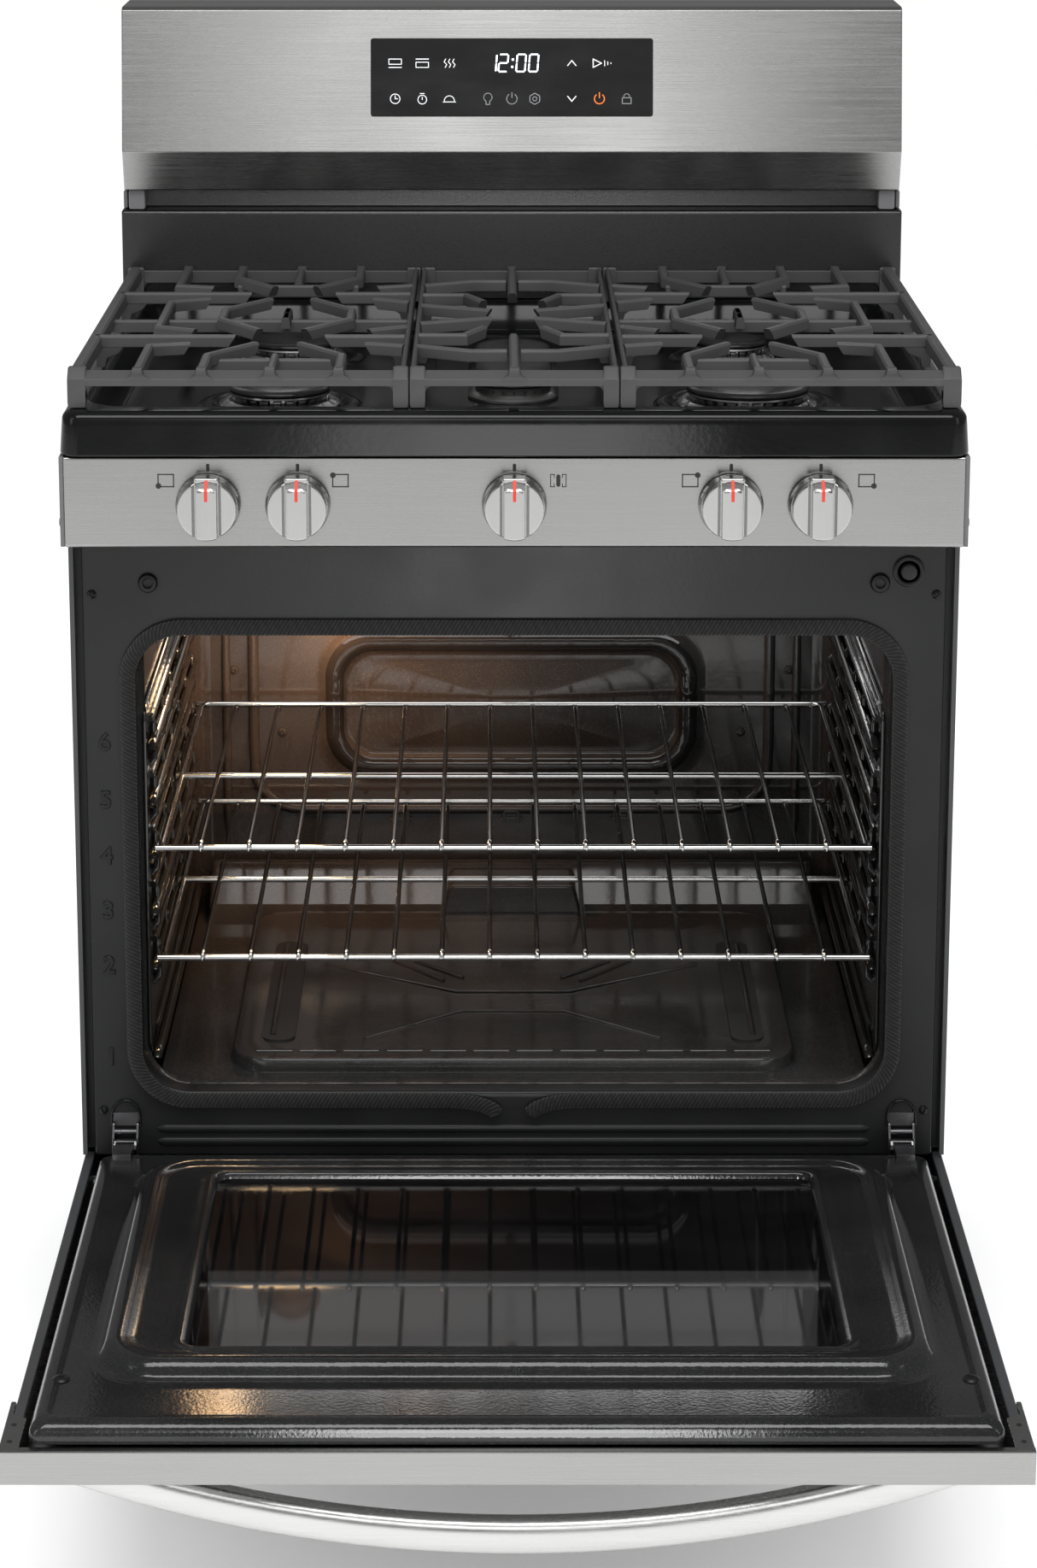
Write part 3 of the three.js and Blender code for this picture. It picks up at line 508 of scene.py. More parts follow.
def dress(node, look, bevel=0.0):
    """Gives a CAD node that stays in view its finish, and soft edges if asked for."""
    obj = frame["nodes"][node]
    if not obj.material_slots:
        obj.data.materials.append(None)
    for held in obj.material_slots:
        held.link = "OBJECT"
        held.material = look.material
    if bevel:
        weld = obj.modifiers.new("weld", "WELD")
        weld.merge_threshold = 0.00002
        edge = obj.modifiers.new("edge", "BEVEL")
        edge.width, edge.segments = bevel / 1000, 2
        edge.limit_method, edge.angle_limit = "ANGLE", math.radians(30.0)
        edge.use_clamp_overlap, edge.harden_normals = True, False


# ---------------------------------------------------------------- cooktop
WELL_Z = 896.0          # the floor of the cooktop's well
BURNER_SPOTS = (("front_left", -204, 173), ("front_right", 204, 173),
                ("rear_left", -204, 401), ("rear_right", 204, 401))


def millimetres(corner):
    return (corner[0] * 1000, (corner[1] - FACE) * 1000, corner[2] * 1000)


def cooktop():
    (left, front, _), (_, rear, _) = (millimetres(c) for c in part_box("cooktop"))

    def outer(inset, z):
        return rim(lying, -left - inset, (front + inset, rear - inset), 17 - inset * 0.7, z)

    def well(grow, z):
        return rim(lying, 356 + grow, (26 - grow, 552 + grow), max(2.0, 34 + grow), z)

    rings = [well(-170, 893.6), well(-26, 893.6), well(-14, 897), well(-6, 908), well(3, 921)]
    rings += [outer(12, 921.5), outer(4, 918), outer(3, 912), outer(3, 887.5), outer(0.9, 886.6)]
    rings += [outer(0, 888.5), outer(1.6, 912)]
    for k in range(1, 7):
        angle = math.pi / 2 * k / 6
        rings.append(outer(1.8 + 9 * (1 - math.cos(angle)), 915 + 9 * math.sin(angle)))
    rings += [well(6, 924), well(2.5, 923.6), well(0, 922), well(-2.5, 918.5), well(-8, 909)]
    rings += [well(-15, 899.5), well(-19, 897), well(-24, 896.2), well(-30, 896), well(-170, 896.0)]
    piece("cooktop_top", loft(Shape(), rings), GLOSS_BLACK, replaces=["cooktop"], crease=45)
    trims = Shape()
    for (_, x, y), r in zip(BURNER_SPOTS, (72, 82, 68, 60)):
        profile = [(r - 18, -0.6), (r - 16, 0.0), (r - 13, 2.6), (r - 9, 3.2), (r - 4, 2.4), (r, 0.0), (r, -0.8)]
        lathe(trims, profile, (x, y, WELL_Z + 0.2))
    piece("cooktop_burner_rings", trims, GLOSS_BLACK, crease=60)


def notches(count, start, end, depth, rows):
    """A wave that cuts the same notch into some rows of a lathe, count times round."""
    def wave(angle, index):
        phase = (angle * count / (2 * math.pi)) % 1.0
        return 1 - depth if index in rows and start < phase < end else 1.0
    return wave


def burner(name, x, y, head, skirt):
    """A round burner: a cast head with a ring of ports, a notched skirt and an enamelled cap."""
    ports = 30 if head > 45 else 24
    centre = (x, y, WELL_Z)
    body = [(0, -14), (13, -14), (13, 0.5), (head - 7, 1.0), (head - 1, 7.4), (head - 0.4, 10.2), (head + 1, 11.4),
            (head + 0.4, 12.8), (0, 12.8)]
    body = lathe(Shape(), body, centre, segments=ports * 8, wave=notches(ports, 0.34, 0.66, 0.10, (4, 5)))
    piece(f"burner_{name}_ring", body, CASTING, replaces=[f"burner_head_{name}"], crease=32)
    collar = [(head - 9, 0.4), (skirt - 4, 0.4), (skirt, 1.6), (skirt - 0.4, 2.8), (head + 4, 6.2), (head + 1, 6.6),
              (head - 2, 5.0), (head - 9, 2.0)]
    collar = lathe(Shape(), collar, centre, segments=144, wave=notches(18, -1, 0.12, 0.07, (2, 3)))
    piece(f"burner_{name}_skirt", collar, BRIGHT_STEEL, crease=40)
    edge = head + 1
    cap = [(0, 13.3), (edge - 3, 13.3), (edge - 0.4, 13.9), (edge, 15.0), (edge - 0.5, 16.4), (edge - 2.2, 17.8),
           (edge - 6, 18.8), (edge * 0.6, 19.3), (0, 19.5)]
    piece(f"burner_{name}_cap", lathe(Shape(), cap, centre, segments=72), CAP_BLACK,
          replaces=[f"burner_cap_{name}"], crease=50)


def oval_burner():
    middle = 287

    def ring(half, length, z):
        return rim(lying, half, (middle - length, middle + length), half * 0.985, WELL_Z + z, 18)

    lower = [(12, 12, -14), (12, 12, 0.4), (40, 117, 0.4), (40, 117, 2.4), (36, 113, 5.6), (33, 111, 6.2),
             (33, 111, 11.6), (34, 112, 12.8)]
    lower = loft(Shape(), [ring(*r) for r in lower])
    piece("burner_centre_body", lower, CASTING, replaces=["burner_head_centre"], crease=40)
    cap = [(33, 111, 13.3), (35.2, 113, 14.0), (35.4, 113.2, 15.2), (34, 112, 17.2), (30, 108, 18.9),
           (20, 98, 19.4)]
    cap = loft(Shape(), [ring(*r) for r in cap])
    piece("burner_centre_cap", cap, CAP_BLACK, replaces=["burner_cap_centre"], crease=50)
    # Dark pins set in the ports' places, as the casting has no holes cut: painted shade.
    hole_shade = Shape()
    edge = rounded((-33.2, 33.2), (-111.2, 111.2), 32.6, 10)
    path = [Vector(p) for p in edge] + [Vector(edge[0])]
    lengths = [(b - a).length for a, b in zip(path, path[1:])]
    total, step = sum(lengths), 9.5
    count = int(total / step)
    for i in range(count):
        target = total * i / count
        for a, b, length in zip(path, path[1:], lengths):
            if target <= length or length == 0:
                break
            target -= length
        p = a + (b - a) * (target / max(length, 1e-6))
        n = (b - a).normalized()
        n = Vector((n.y, -n.x))
        ends = [(p.x + n.x * out, middle + p.y + n.y * out, WELL_Z + 9.2) for out in (-0.5, 0.35)]
        sweep(hole_shade, ends, circle(1.5, 8))
    piece("burner_centre_port_shade", hole_shade, INK)


# ---------------------------------------------------------------- grates
BAR_TOP = 958.0
GRATE_MIDDLE = 284.0
GRATE_END = 266.0       # from the middle to the front or rear rail
RAIL = [(6.0, -11.6), (6.0, -6.2), (5.2, -5.2), (-3.6, -0.4), (-4.4, 0.0), (-5.2, -0.8), (-5.2, -11.6)]


def bar_section(width, depth, chamfer=2.0):
    """A cast bar's section: chamfered above, and a little wider below so that it leaves its mould."""
    half, draft = width / 2, 0.6
    edge = [(half - draft * 0.2, -depth), (half, -depth + 1.0), (half - draft, -chamfer),
            (half - chamfer - draft * 0.4, 0)]
    return edge + [(-u, v) for u, v in reversed(edge)]


def grate_bar(shape, x, path, top=BAR_TOP, depth=10.0, width=9.0, tip=True):
    """A cast bar along a flat path, mirrored front to back. Its last end is cut back to a finger tip."""
    for s in (1, -1):
        points = [Vector((x + u, GRATE_MIDDLE - s * v, top)) for u, v in path]
        rings = []
        for i, p in enumerate(points):
            tangent, stretch = directions(points, i)
            side = tangent.cross(Vector(UP))
            ring = []
            for across, lift in bar_section(width, depth):
                back = 0.0
                if tip and i == len(points) - 1:
                    back = 7.0 * (-lift / depth) + (0.0 if lift < -1 else 0.8)
                ring.append(p + side * across * stretch + Vector((0, 0, lift)) - tangent * back)
            rings.append(ring)
        loft(shape, rings)


def cross_rail(shape, x, y, v):
    """The sloping rail across a grate's front (v is 1) or rear (v is -1)."""
    path = [(x[0], y, 954.6), (x[1], y, 954.6)]
    sweep(shape, path[::v], RAIL, up=UP)


def grate_foot(shape, x, y, width, v, lean):
    """A corner leg whose top slopes down to the rail's front face. Its web is on the side it leans to."""
    half, low, high = width / 2, 924.9, BAR_TOP - 0.3
    outline = [(half - 0.6, low), (half, low + 4), (half, high - 1), (half - 1.2, high)]
    outline = [(-half + 0.6, low)] + outline + [(-u, w) for u, w in reversed(outline[1:])]
    rings = []
    for back, top in ((0, 948.0), (0.6, 949.4), (8.6, 957.2), (9.8, high), (13.4, high), (14, high - 1)):
        edge = y - v * (6.3 - back)
        rings.append([(x + u, edge, min(w, top - (high - w if w > high - 1.1 else 0))) for u, w in outline])
    loft(shape, rings)
    s = math.copysign(1, lean)
    web = [(x + s * (half - 1), 943), (x + s * (half - 1), 930), (x + s * half, 932)]
    for k in range(6):
        a = math.pi / 2 * k / 5
        web.append((x + s * (half + 7 - 7 * math.cos(a)), 936.5 + 6.5 * math.sin(a)))
    slab(shape, web, upright, y - 4.6, y + 4.6, 0.3)


def rib(shape, x, y, v):
    """Where a bar crosses the front or back rail, it runs down the rail's slope with flared feet."""
    half, foot = 4.25, 947.2
    flare = [(half + 6.5, foot), (half + 5.6, 949.4), (half + 1.2, 952.2), (half + 0.2, 954.6),
             (half - 0.4, 957.6)]
    outline = flare + [(-u, z) for u, z in reversed(flare)]
    near, far = y - v * 6.3, y + v * 3.0
    rings = []
    for t, squeeze in ((0.0, 0.86), (0.08, 1.0), (1.0, 1.0)):
        rings.append([(x + u, near + (far - near) * t, foot + (z - foot) * squeeze) for u, z in outline])
    loft(shape, rings)


def gussets(shape, x, v, toward, reach):
    """The webs under a finger where it leaves a side bar, in front of the middle and behind it."""
    web = [(x + toward * a, z) for a, z in reach]
    for y in (GRATE_MIDDLE + v, GRATE_MIDDLE - v):
        slab(shape, web, upright, y - 4, y + 4, 0.8)


def grate_feet(name, xs):
    feet = Shape()
    for x in xs:
        for v in (1, -1):
            profile = [(0, 0.1), (4.6, 0.1), (5.4, 1.0), (4.4, 2.2), (0, 2.4)]
            lathe(feet, profile, (x, GRATE_MIDDLE - v * 264, 924.0), segments=20)
    piece(f"grate_{name}_feet", feet, RUBBER)


def side_grate(s, name):
    x = s * 203.0
    outer, inner = s * 160.5, -s * 108.5
    shape = Shape()
    grate_bar(shape, x, [(outer, 262), (outer, 0)], width=11.5, depth=12, tip=False)
    grate_bar(shape, x, [(inner - s * 2.0, 262), (inner - s * 2.0, 0)], width=5, depth=12, tip=False)
    for u in (57, -57):
        grate_bar(shape, x, [(u, GRATE_END), (u, 203), (u / 3.1, 146)])
        grate_bar(shape, x, [(u, 0), (u, 26), (u / 3, 84)])
    for u, reach in ((outer, 20), (inner, 16)):
        grate_bar(shape, x, [(u, 113), (math.copysign(38, u), 113)])
        profile = [(0, 955), (0, 930), (8, 930), (10, 938), (reach, 942), (reach + 10, 955)]
        gussets(shape, x + u, 113, -math.copysign(1, u), profile)
    u = s * 110
    for path in ([(u, GRATE_END), (u, 158), (s * 75, 148)], [(u, 0), (u, 66), (s * 75, 85)],
                 [(inner, 160), (-s * 75, 148)], [(inner, 64), (-s * 75, 84)]):
        grate_bar(shape, x, path)
    grate_bar(shape, x, [(0, 26), (0, 0)], width=8)
    grate_bar(shape, x, [(0, 0), (0, 26)], width=8)
    grate_bar(shape, x, [(0, GRATE_END), (0, 194)], top=956.5, width=7.5, tip=False)
    for v in (193, -193, 0):
        y = GRATE_MIDDLE + v
        a, b = (outer, inner) if v == 0 else (-57, 57)
        sweep(shape, [(x + a, y, 951.5), (x + b, y, 951.5)], bar_section(8.5, 10.5, 1.6), up=UP)
    for v in (1, -1):
        y = GRATE_MIDDLE - v * GRATE_END
        cross_rail(shape, sorted((x + outer, x + inner)), y, v)
        for u in (57, -57, s * 110, 0):
            rib(shape, x + u, y, v)
        grate_foot(shape, x + outer, y, 15.0, v, -outer)
        grate_foot(shape, x + inner, y, 12.6, v, -inner)
    piece(f"grate_{name}_bars", shape, IRON, replaces=[f"grate_{name}"], crease=28)
    grate_feet(name, (x + outer, x + inner))


def centre_grate():
    side = 83.0
    shape = Shape()
    for s in (1, -1):
        grate_bar(shape, 0, [(s * (side + 1.2), 262), (s * (side + 1.2), 0)], width=5, depth=12, tip=False)
        grate_bar(shape, 0, [(s * side, 160), (s * 38, 184), (s * 6, 184)], tip=False)
        grate_bar(shape, 0, [(s * side, 106), (s * 43, 106), (s * 26, 66)])
        grate_bar(shape, 0, [(s * side, 48), (s * 19, 20)])
        gussets(shape, s * side, 106, -s, [(0, 955), (0, 932), (7, 932), (9, 939), (18, 943), (26, 955)])
    grate_bar(shape, 0, [(0, GRATE_END), (0, 106)])
    for v in (1, -1):
        y = GRATE_MIDDLE - v * GRATE_END
        cross_rail(shape, (-side, side), y, v)
        rib(shape, 0, y, v)
        for s in (1, -1):
            grate_foot(shape, s * (side - 2.6), y, 12.6, v, -s)
    piece("grate_centre_bars", shape, IRON, replaces=["grate_centre"], crease=28)
    grate_feet("centre", (side - 1, 1 - side))


# ---------------------------------------------------------------- backguard
HEAD_HALF = 374.5
CREASE = Vector((543, 1070))                # (y, z) of the bend between the head's two faces
LEAN = Vector((23, 127)).normalized()


def on_head(x, up, out=0.0):
    """A point on the head's leaning face: up is measured along the face from the crease."""
    base = CREASE + LEAN * up
    return (x, base.x - LEAN.y * out, base.y + LEAN.x * out)


def backguard():
    skin = [(557, 1031.2), tuple(CREASE), tuple(CREASE + LEAN * 135.6), (570.6, 1206.2), (577, 1206.8),
            (646, 1206.8), (649.8, 1203), (649.8, 1031.2)]
    shell = bar_x(Shape(), fillet(skin, [2.5, 3.5, 1.6, 1.6, 3, 3, 1, 1], 6), (-HEAD_HALF, HEAD_HALF), 1.2)
    piece("backguard_shell", shell, STEEL, replaces=["backguard_head"], crease=30)
    low = [(561, 924.4), (648, 924.4), (648, 1028.8), (593, 1028.8), (592, 1011), (561, 1011)]
    base = bar_x(Shape(), fillet(low, [1, 1, 1, 1, 1, 3.5]), (-378, 378), 2.0)
    piece("backguard_base", base, GUARD_BLACK, replaces=["backguard_lower"], crease=30)
    shape = Shape()
    for s in SIDES:
        block(shape, (s * 355, s * 371), (563, 590), (1011.6, 1030.6), 1.5)
        block(shape, (s * 372.5, s * 376.5), (570, 600), (1012, 1029), 1.0)
    piece("backguard_blocks", shape, GREY_PLASTIC)


def lay(shape, outline):
    """A flat mark on the display glass."""
    return slab(shape, outline, on_head, 0.95, 1.15, 0.03, 1)


def straight(a, b, width, overrun):
    """The outline of a straight stroke that runs past both its ends."""
    d = Vector((b[0] - a[0], b[1] - a[1]))
    n = Vector((-d.y, d.x)).normalized() * width / 2
    e = d.normalized() * width * overrun
    return [(a[0] - e.x + n.x, a[1] - e.y + n.y), (a[0] - e.x - n.x, a[1] - e.y - n.y),
            (b[0] + e.x - n.x, b[1] + e.y - n.y), (b[0] + e.x + n.x, b[1] + e.y + n.y)]


def stroke(shape, points, width=0.7):
    for a, b in zip(points, points[1:]):
        lay(shape, straight(a, b, width, 0.4))


def arc(u, v, r, start, end, n=14):
    turn = (math.radians(start + (end - start) * k / n) for k in range(n + 1))
    return [(u + r * math.cos(a), v + r * math.sin(a)) for a in turn]


def clock_digits():
    """Seven-segment digits that lean a little."""
    segments = {"1": "bc", "2": "abged", "0": "abcdef"}
    ends = {"a": ((0, 2), (1, 2)), "b": ((1, 2), (1, 1)), "c": ((1, 1), (1, 0)), "d": ((0, 0), (1, 0)),
            "e": ((0, 0), (0, 1)), "f": ((0, 1), (0, 2)), "g": ((0, 1), (1, 1))}
    digits = Shape()
    width, height, v0, lean = 8.4, 8.2, 77.0, 0.08
    for digit, u0 in zip("1200", (-24.0, -13.0, 4.0, 16.0)):
        for key in segments[digit]:
            p, q = (Vector((a * width, b * height)) for a, b in ends[key])
            along = (q - p).normalized() * 1.1
            stroke(digits, [(u0 + e.x + e.y * lean, v0 + e.y) for e in (p + along, q - along)], 1.4)
    for dv in (4.5, 11.5):
        lay(digits, [(dv * lean + u, v0 + dv + v) for u, v in ((-1, -1), (1, -1), (1, 1), (-1, 1))])
    return digits


def display():
    panel = rounded((-135.5, 135.5), (34.0, 109.0), 2.6, 5)
    panel = slab(Shape(), panel, on_head, -2.0, 0.9, 0.5)
    piece("display_panel", panel, DISPLAY, replaces=["display_glass"], crease=30)
    piece("display_clock", clock_digits(), CLOCK_MARK, crease=10)

    # Touch marks: plain line symbols in the places of the keys, in a top row and a low one.
    top, low = 85.0, 51.0
    marks = Shape()
    for u, v in ((-118, -4), (-92, 4)):
        stroke(marks, [(u, top + v), (u + 12, top + v)], 0.8)
        near, far = math.copysign(1, v), -v
        stroke(marks, [(u, top + far), (u + 12, top + far), (u + 12, top + near), (u, top + near), (u, top + far)])
    for u in (-64, -60, -56):
        stroke(marks, [(u, top - 4), (u + 1.5, top - 1.3), (u - 1, top + 1.3), (u + 0.5, top + 4)])
    for line in (arc(-112, low, 4.6, 0, 360, 20), [(-112, low + 3), (-112, low), (-109.6, low)],
                 arc(-86, low - 0.8, 4.2, 0, 360, 20), [(-88, low + 5), (-84, low + 5)],
                 [(-86, low + 1.6), (-86, low - 0.8)], arc(-60, low - 2, 4.8, 0, 180, 12),
                 [(-66, low - 3), (-54, low - 3)]):
        stroke(marks, line)
    for line in ([(53.5, top - 2.2), (57.5, top + 2.6), (61.5, top - 2.2)],
                 [(53.5, low + 2.4), (57.5, low - 2.4), (61.5, low + 2.4)],
                 [(78, top - 4), (78, top + 4), (86, top), (78, top - 4)]):
        stroke(marks, line, 0.9)
    for k in range(3):
        stroke(marks, [(89 + 3 * k, top - 2.5 + k), (89 + 3 * k, top + 2.5 - k)])
    piece("display_marks", marks, WHITE_MARK, crease=10)
    faint = Shape()
    for line in (arc(-23, low + 1.4, 4.0, -60, 240, 16),
                 [(-24.8, low - 2.6), (-24.8, low - 5.4), (-21.2, low - 5.4), (-21.2, low - 2.6)],
                 arc(0, low, 5.0, -235, 55, 18), [(0, low + 1), (0, low + 6)], arc(22, low, 5.4, 30, 390, 6),
                 arc(22, low, 2.0, 0, 360, 12),
                 [(106, low - 4.6), (106, low + 1), (114.5, low + 1), (114.5, low - 4.6), (106, low - 4.6)],
                 arc(110.2, low + 2, 2.8, 0, 180, 10)):
        stroke(faint, line)
    piece("display_faint_marks", faint, GREY_MARK, crease=10)
    amber = Shape()
    for line in (arc(84, low, 4.8, -230, 50, 18), [(84, low + 1), (84, low + 6)]):
        stroke(amber, line, 0.9)
    piece("display_amber_mark", amber, AMBER_MARK, crease=10)


# ---------------------------------------------------------------- control panel and knobs
KNOBS = {"front_left": -254.5, "rear_left": -180.0, "centre": 0.0, "rear_right": 180.0, "front_right": 254.5}
KNOB_Z = 845.0
ICON_Z = 865.5


def print_flat(shape, outline):
    """A printed mark on the panel's face."""
    return slab(shape, outline, upright, -0.2, 0.02, 0.04, 1)


def print_line(shape, a, b, width):
    print_flat(shape, straight(a, b, width, 0.5))


def burner_icon(marks, x, dot):
    """A square for the cooktop, broken at the corner where a dot stands for the burner."""
    z = ICON_Z
    corners = [(-6.4, -5.2), (6.4, -5.2), (6.4, 5.2), (-6.4, 5.2)]
    for a, b in zip(corners, corners[1:] + corners[:1]):
        p, q = Vector(a), Vector(b)
        for end, other in ((p, q), (q, p)):
            if (end - Vector(dot)).length < 2.5:
                end += (other - end).normalized() * 3.0
        print_line(marks, (x + p.x, z + p.y), (x + q.x, z + q.y), 1.0)
    print_flat(marks, [(x + dot[0] + u, z + dot[1] + v) for u, v in circle(2.4, 16)])


def oval_icon(marks, x):
    z = ICON_Z
    print_flat(marks, rounded((x - 1.7, x + 1.7), (z - 5.2, z + 5.2), 1.6, 4))
    for s in SIDES:
        edge = x + s * 6.4
        print_line(marks, (edge, z - 5.2), (edge, z + 5.2), 0.7)
        for v in (-5.2, 5.2):
            print_line(marks, (edge, z + v), (x + s * 3.2, z + v), 0.7)
        for v in SIDES:
            print_line(marks, (x + s * 3.4, z + v * 5.2), (x + s * 3.4, z + v * 2.6), 0.6)


def control_panel():
    bend = [(0, 808.2), (0, 885.3), (39.8, 885.3), (39.8, 883.3), (2, 883.3), (2, 810.2), (39.8, 810.2),
            (39.8, 808.2)]
    face = bar_x(Shape(), fillet(bend, [2.6, 2.2, 0.3, 0.3, 0.8, 0.8, 0.3, 0.3]), (-374.3, 374.3), 0.25)
    piece("control_panel_face", face, STEEL, replaces=["control_panel"], crease=30)
    dress("panel_bracket", GREY_PLASTIC, 0.6)
    screws = Shape()
    for s in SIDES:
        sweep(screws, [(s * x, 14, 827) for x in (378.3, 379.4, 380.3)], circle(4.2, 20), widths=[1, 1, 0.75])
    piece("panel_end_screws", screws, GREY_PLASTIC)
    marks = Shape()
    for x in KNOBS.values():
        print_flat(marks, rounded((x - 1.4, x + 1.4), (873.2, 879.8), 1.1, 3))
    for x, dot in ((-289.5, (-6.2, -4.6)), (-144.5, (-6.2, 4.6)), (146.0, (6.2, 4.6)), (292.5, (6.2, -4.6))):
        burner_icon(marks, x, dot)
    oval_icon(marks, 36.5)
    piece("panel_marks", marks, INK, crease=10)


# The knob's face from its middle line outwards: the grip bar, its edge, the groove's wall, floor and
# far edge, and the disc. Each row holds where the stretch ends, where it is measured from, its height
# there, and its slope.
KNOB_FACE = ((8.6, 7.2, 27.9, 0.75), (9.1, 8.6, 26.85, 10.4), (9.9, 9.1, 21.65, 0.0), (12.2, 9.9, 21.65, -0.75))


def face_height(u):
    a = abs(u)
    if a <= 7.2:
        return 28.2 - 0.3 * (a / 7.2) ** 2
    for end, start, height, slope in KNOB_FACE:
        if a <= end:
            return height - slope * (a - start)
    return 23.38 - 2.4 * ((a - 12.2) / 12.3) ** 2


def knob_grip(x):
    """The disc in strips along the grip. It stops short of the top, where it slopes back to the skirt."""
    columns = [0, 2.5, 5, 7.1, 7.3, 8.5, 8.65, 9.05, 9.2, 9.8, 10.0, 12.1, 12.4, 14.5, 17, 19.5, 21.5, 23.0,
               24.0, 24.5]
    columns = sorted({-c for c in columns} | set(columns))
    radius, rows, under = 24.7, 40, 9.5
    spots = []
    for u in columns:
        reach = math.sqrt(max(0.0, radius ** 2 - u ** 2))
        spots += [(u, reach * math.cos(math.pi * k / rows)) for k in range(rows + 1)]
    corners = []
    for u, v in spots:
        edge = min(1.0, radius - math.hypot(u, v))
        round_off = 1 - math.sqrt(max(0, 1 - (1 - edge) ** 2))
        cut_back = 28.2 - 1.05 * (v - 17.6) if v > 17.6 else 99.0
        corners.append((x + u, round_off - min(face_height(u), cut_back), KNOB_Z + v))
    corners += [(x + u, -under, KNOB_Z + v) for u, v in spots]
    faces = []
    top, line = len(spots), rows + 1
    last = top - line
    for i in range(0, last, line):
        for a in range(i, i + rows):
            faces.append((a, a + 1, a + line + 1, a + line))
            faces.append((top + a, top + a + line, top + a + line + 1, top + a + 1))
    for a in range(0, last, line):
        b = a + line
        faces.append((a, b, top + b, top + a))
        faces.append((a + rows, top + a + rows, top + b + rows, b + rows))
    for k in range(rows):
        faces.append((k, top + k, top + k + 1, k + 1))
        faces.append((last + k, last + k + 1, top + last + k + 1, top + last + k))
    return Shape().add(corners, faces)


def knob(name, x):
    """A turned metal knob with a straight grip bar, two grooves beside it and a pointer at the top."""
    body = f"knob_{name}"
    skirt = [(0, 4.1), (26.6, 4.1), (27, 4.8), (26.8, 6.4), (25.4, 8.2), (25.0, 10.4), (0, 10.4)]
    piece(f"{body}_skirt", lathe(Shape(), skirt, (x, 0, KNOB_Z), "y", 72), KNOB_STEEL, body, crease=40)
    piece(f"{body}_grip", knob_grip(x), KNOB_STEEL, body, replaces=[f"knob_{name}"], crease=24)
    rows = ((10.4, 871.8, 9), (10.4, 871.8, 19.8), (10.1, 871.5, 20.6), (9.5, 870.9, 21.1), (9.0, 870.4, 21.2))
    pointer = loft(Shape(), [rim(upright, half, (856, high), 1.6, -out, 5, x) for half, high, out in rows])
    piece(f"{body}_pointer", pointer, KNOB_STEEL, body, crease=30)
    run = [(x, -28.25, 853.6), (x, -28.3, 862.4), (x, -27.6, 863.2), (x, -21.6, 869.0), (x, -21.3, 870.0)]
    index = sweep(Shape(), run, [(1.35, -0.3), (1.2, 0.25), (-1.2, 0.25), (-1.35, -0.3)], up=(0, -0.8, 0.6))
    piece(f"{body}_index", index, RED, body)
    dress(f"valve_stem_{name}", CASTING)


# ---------------------------------------------------------------- oven
MOUTH_HALF, MOUTH_LOW, MOUTH_HIGH, MOUTH_CORNER = 322.6, 311.0, 723.0, 40.0
FRAME_Y = 42.0
HALF_ROUND = [math.pi * k / 8 for k in range(9)]


def mouth_ring(grow, y):
    """A ring that is the oven's mouth made larger by grow."""
    return rim(upright, MOUTH_HALF + grow, (MOUTH_LOW - grow, MOUTH_HIGH + grow), MOUTH_CORNER + grow, y, 10)


def raised_number(digit, z):
    """A rack number that stands out of the enamel."""
    curve = bpy.data.curves.new(f"rack_number_{digit}", "FONT")
    curve.body = digit
    curve.size, curve.extrude = 0.0215, 0.0008
    curve.bevel_depth, curve.bevel_resolution = 0.0007, 1
    curve.align_x, curve.align_y = "CENTER", "CENTER"
    text = bpy.data.objects.new(f"rack_number_{digit}", curve)
    bpy.context.collection.objects.link(text)
    text.matrix_world = Matrix.Translation(row((-350, 41.8, z))) @ Matrix.Rotation(math.pi / 2, 4, "X")
    bpy.context.view_layer.update()
    mesh = bpy.data.meshes.new_from_object(text)
    mesh.transform(text.matrix_world)
    bpy.data.objects.remove(text)
    mesh.materials.clear()
    joined_to(mesh, f"rack_number_{digit}_raised", FRAME_BLACK)


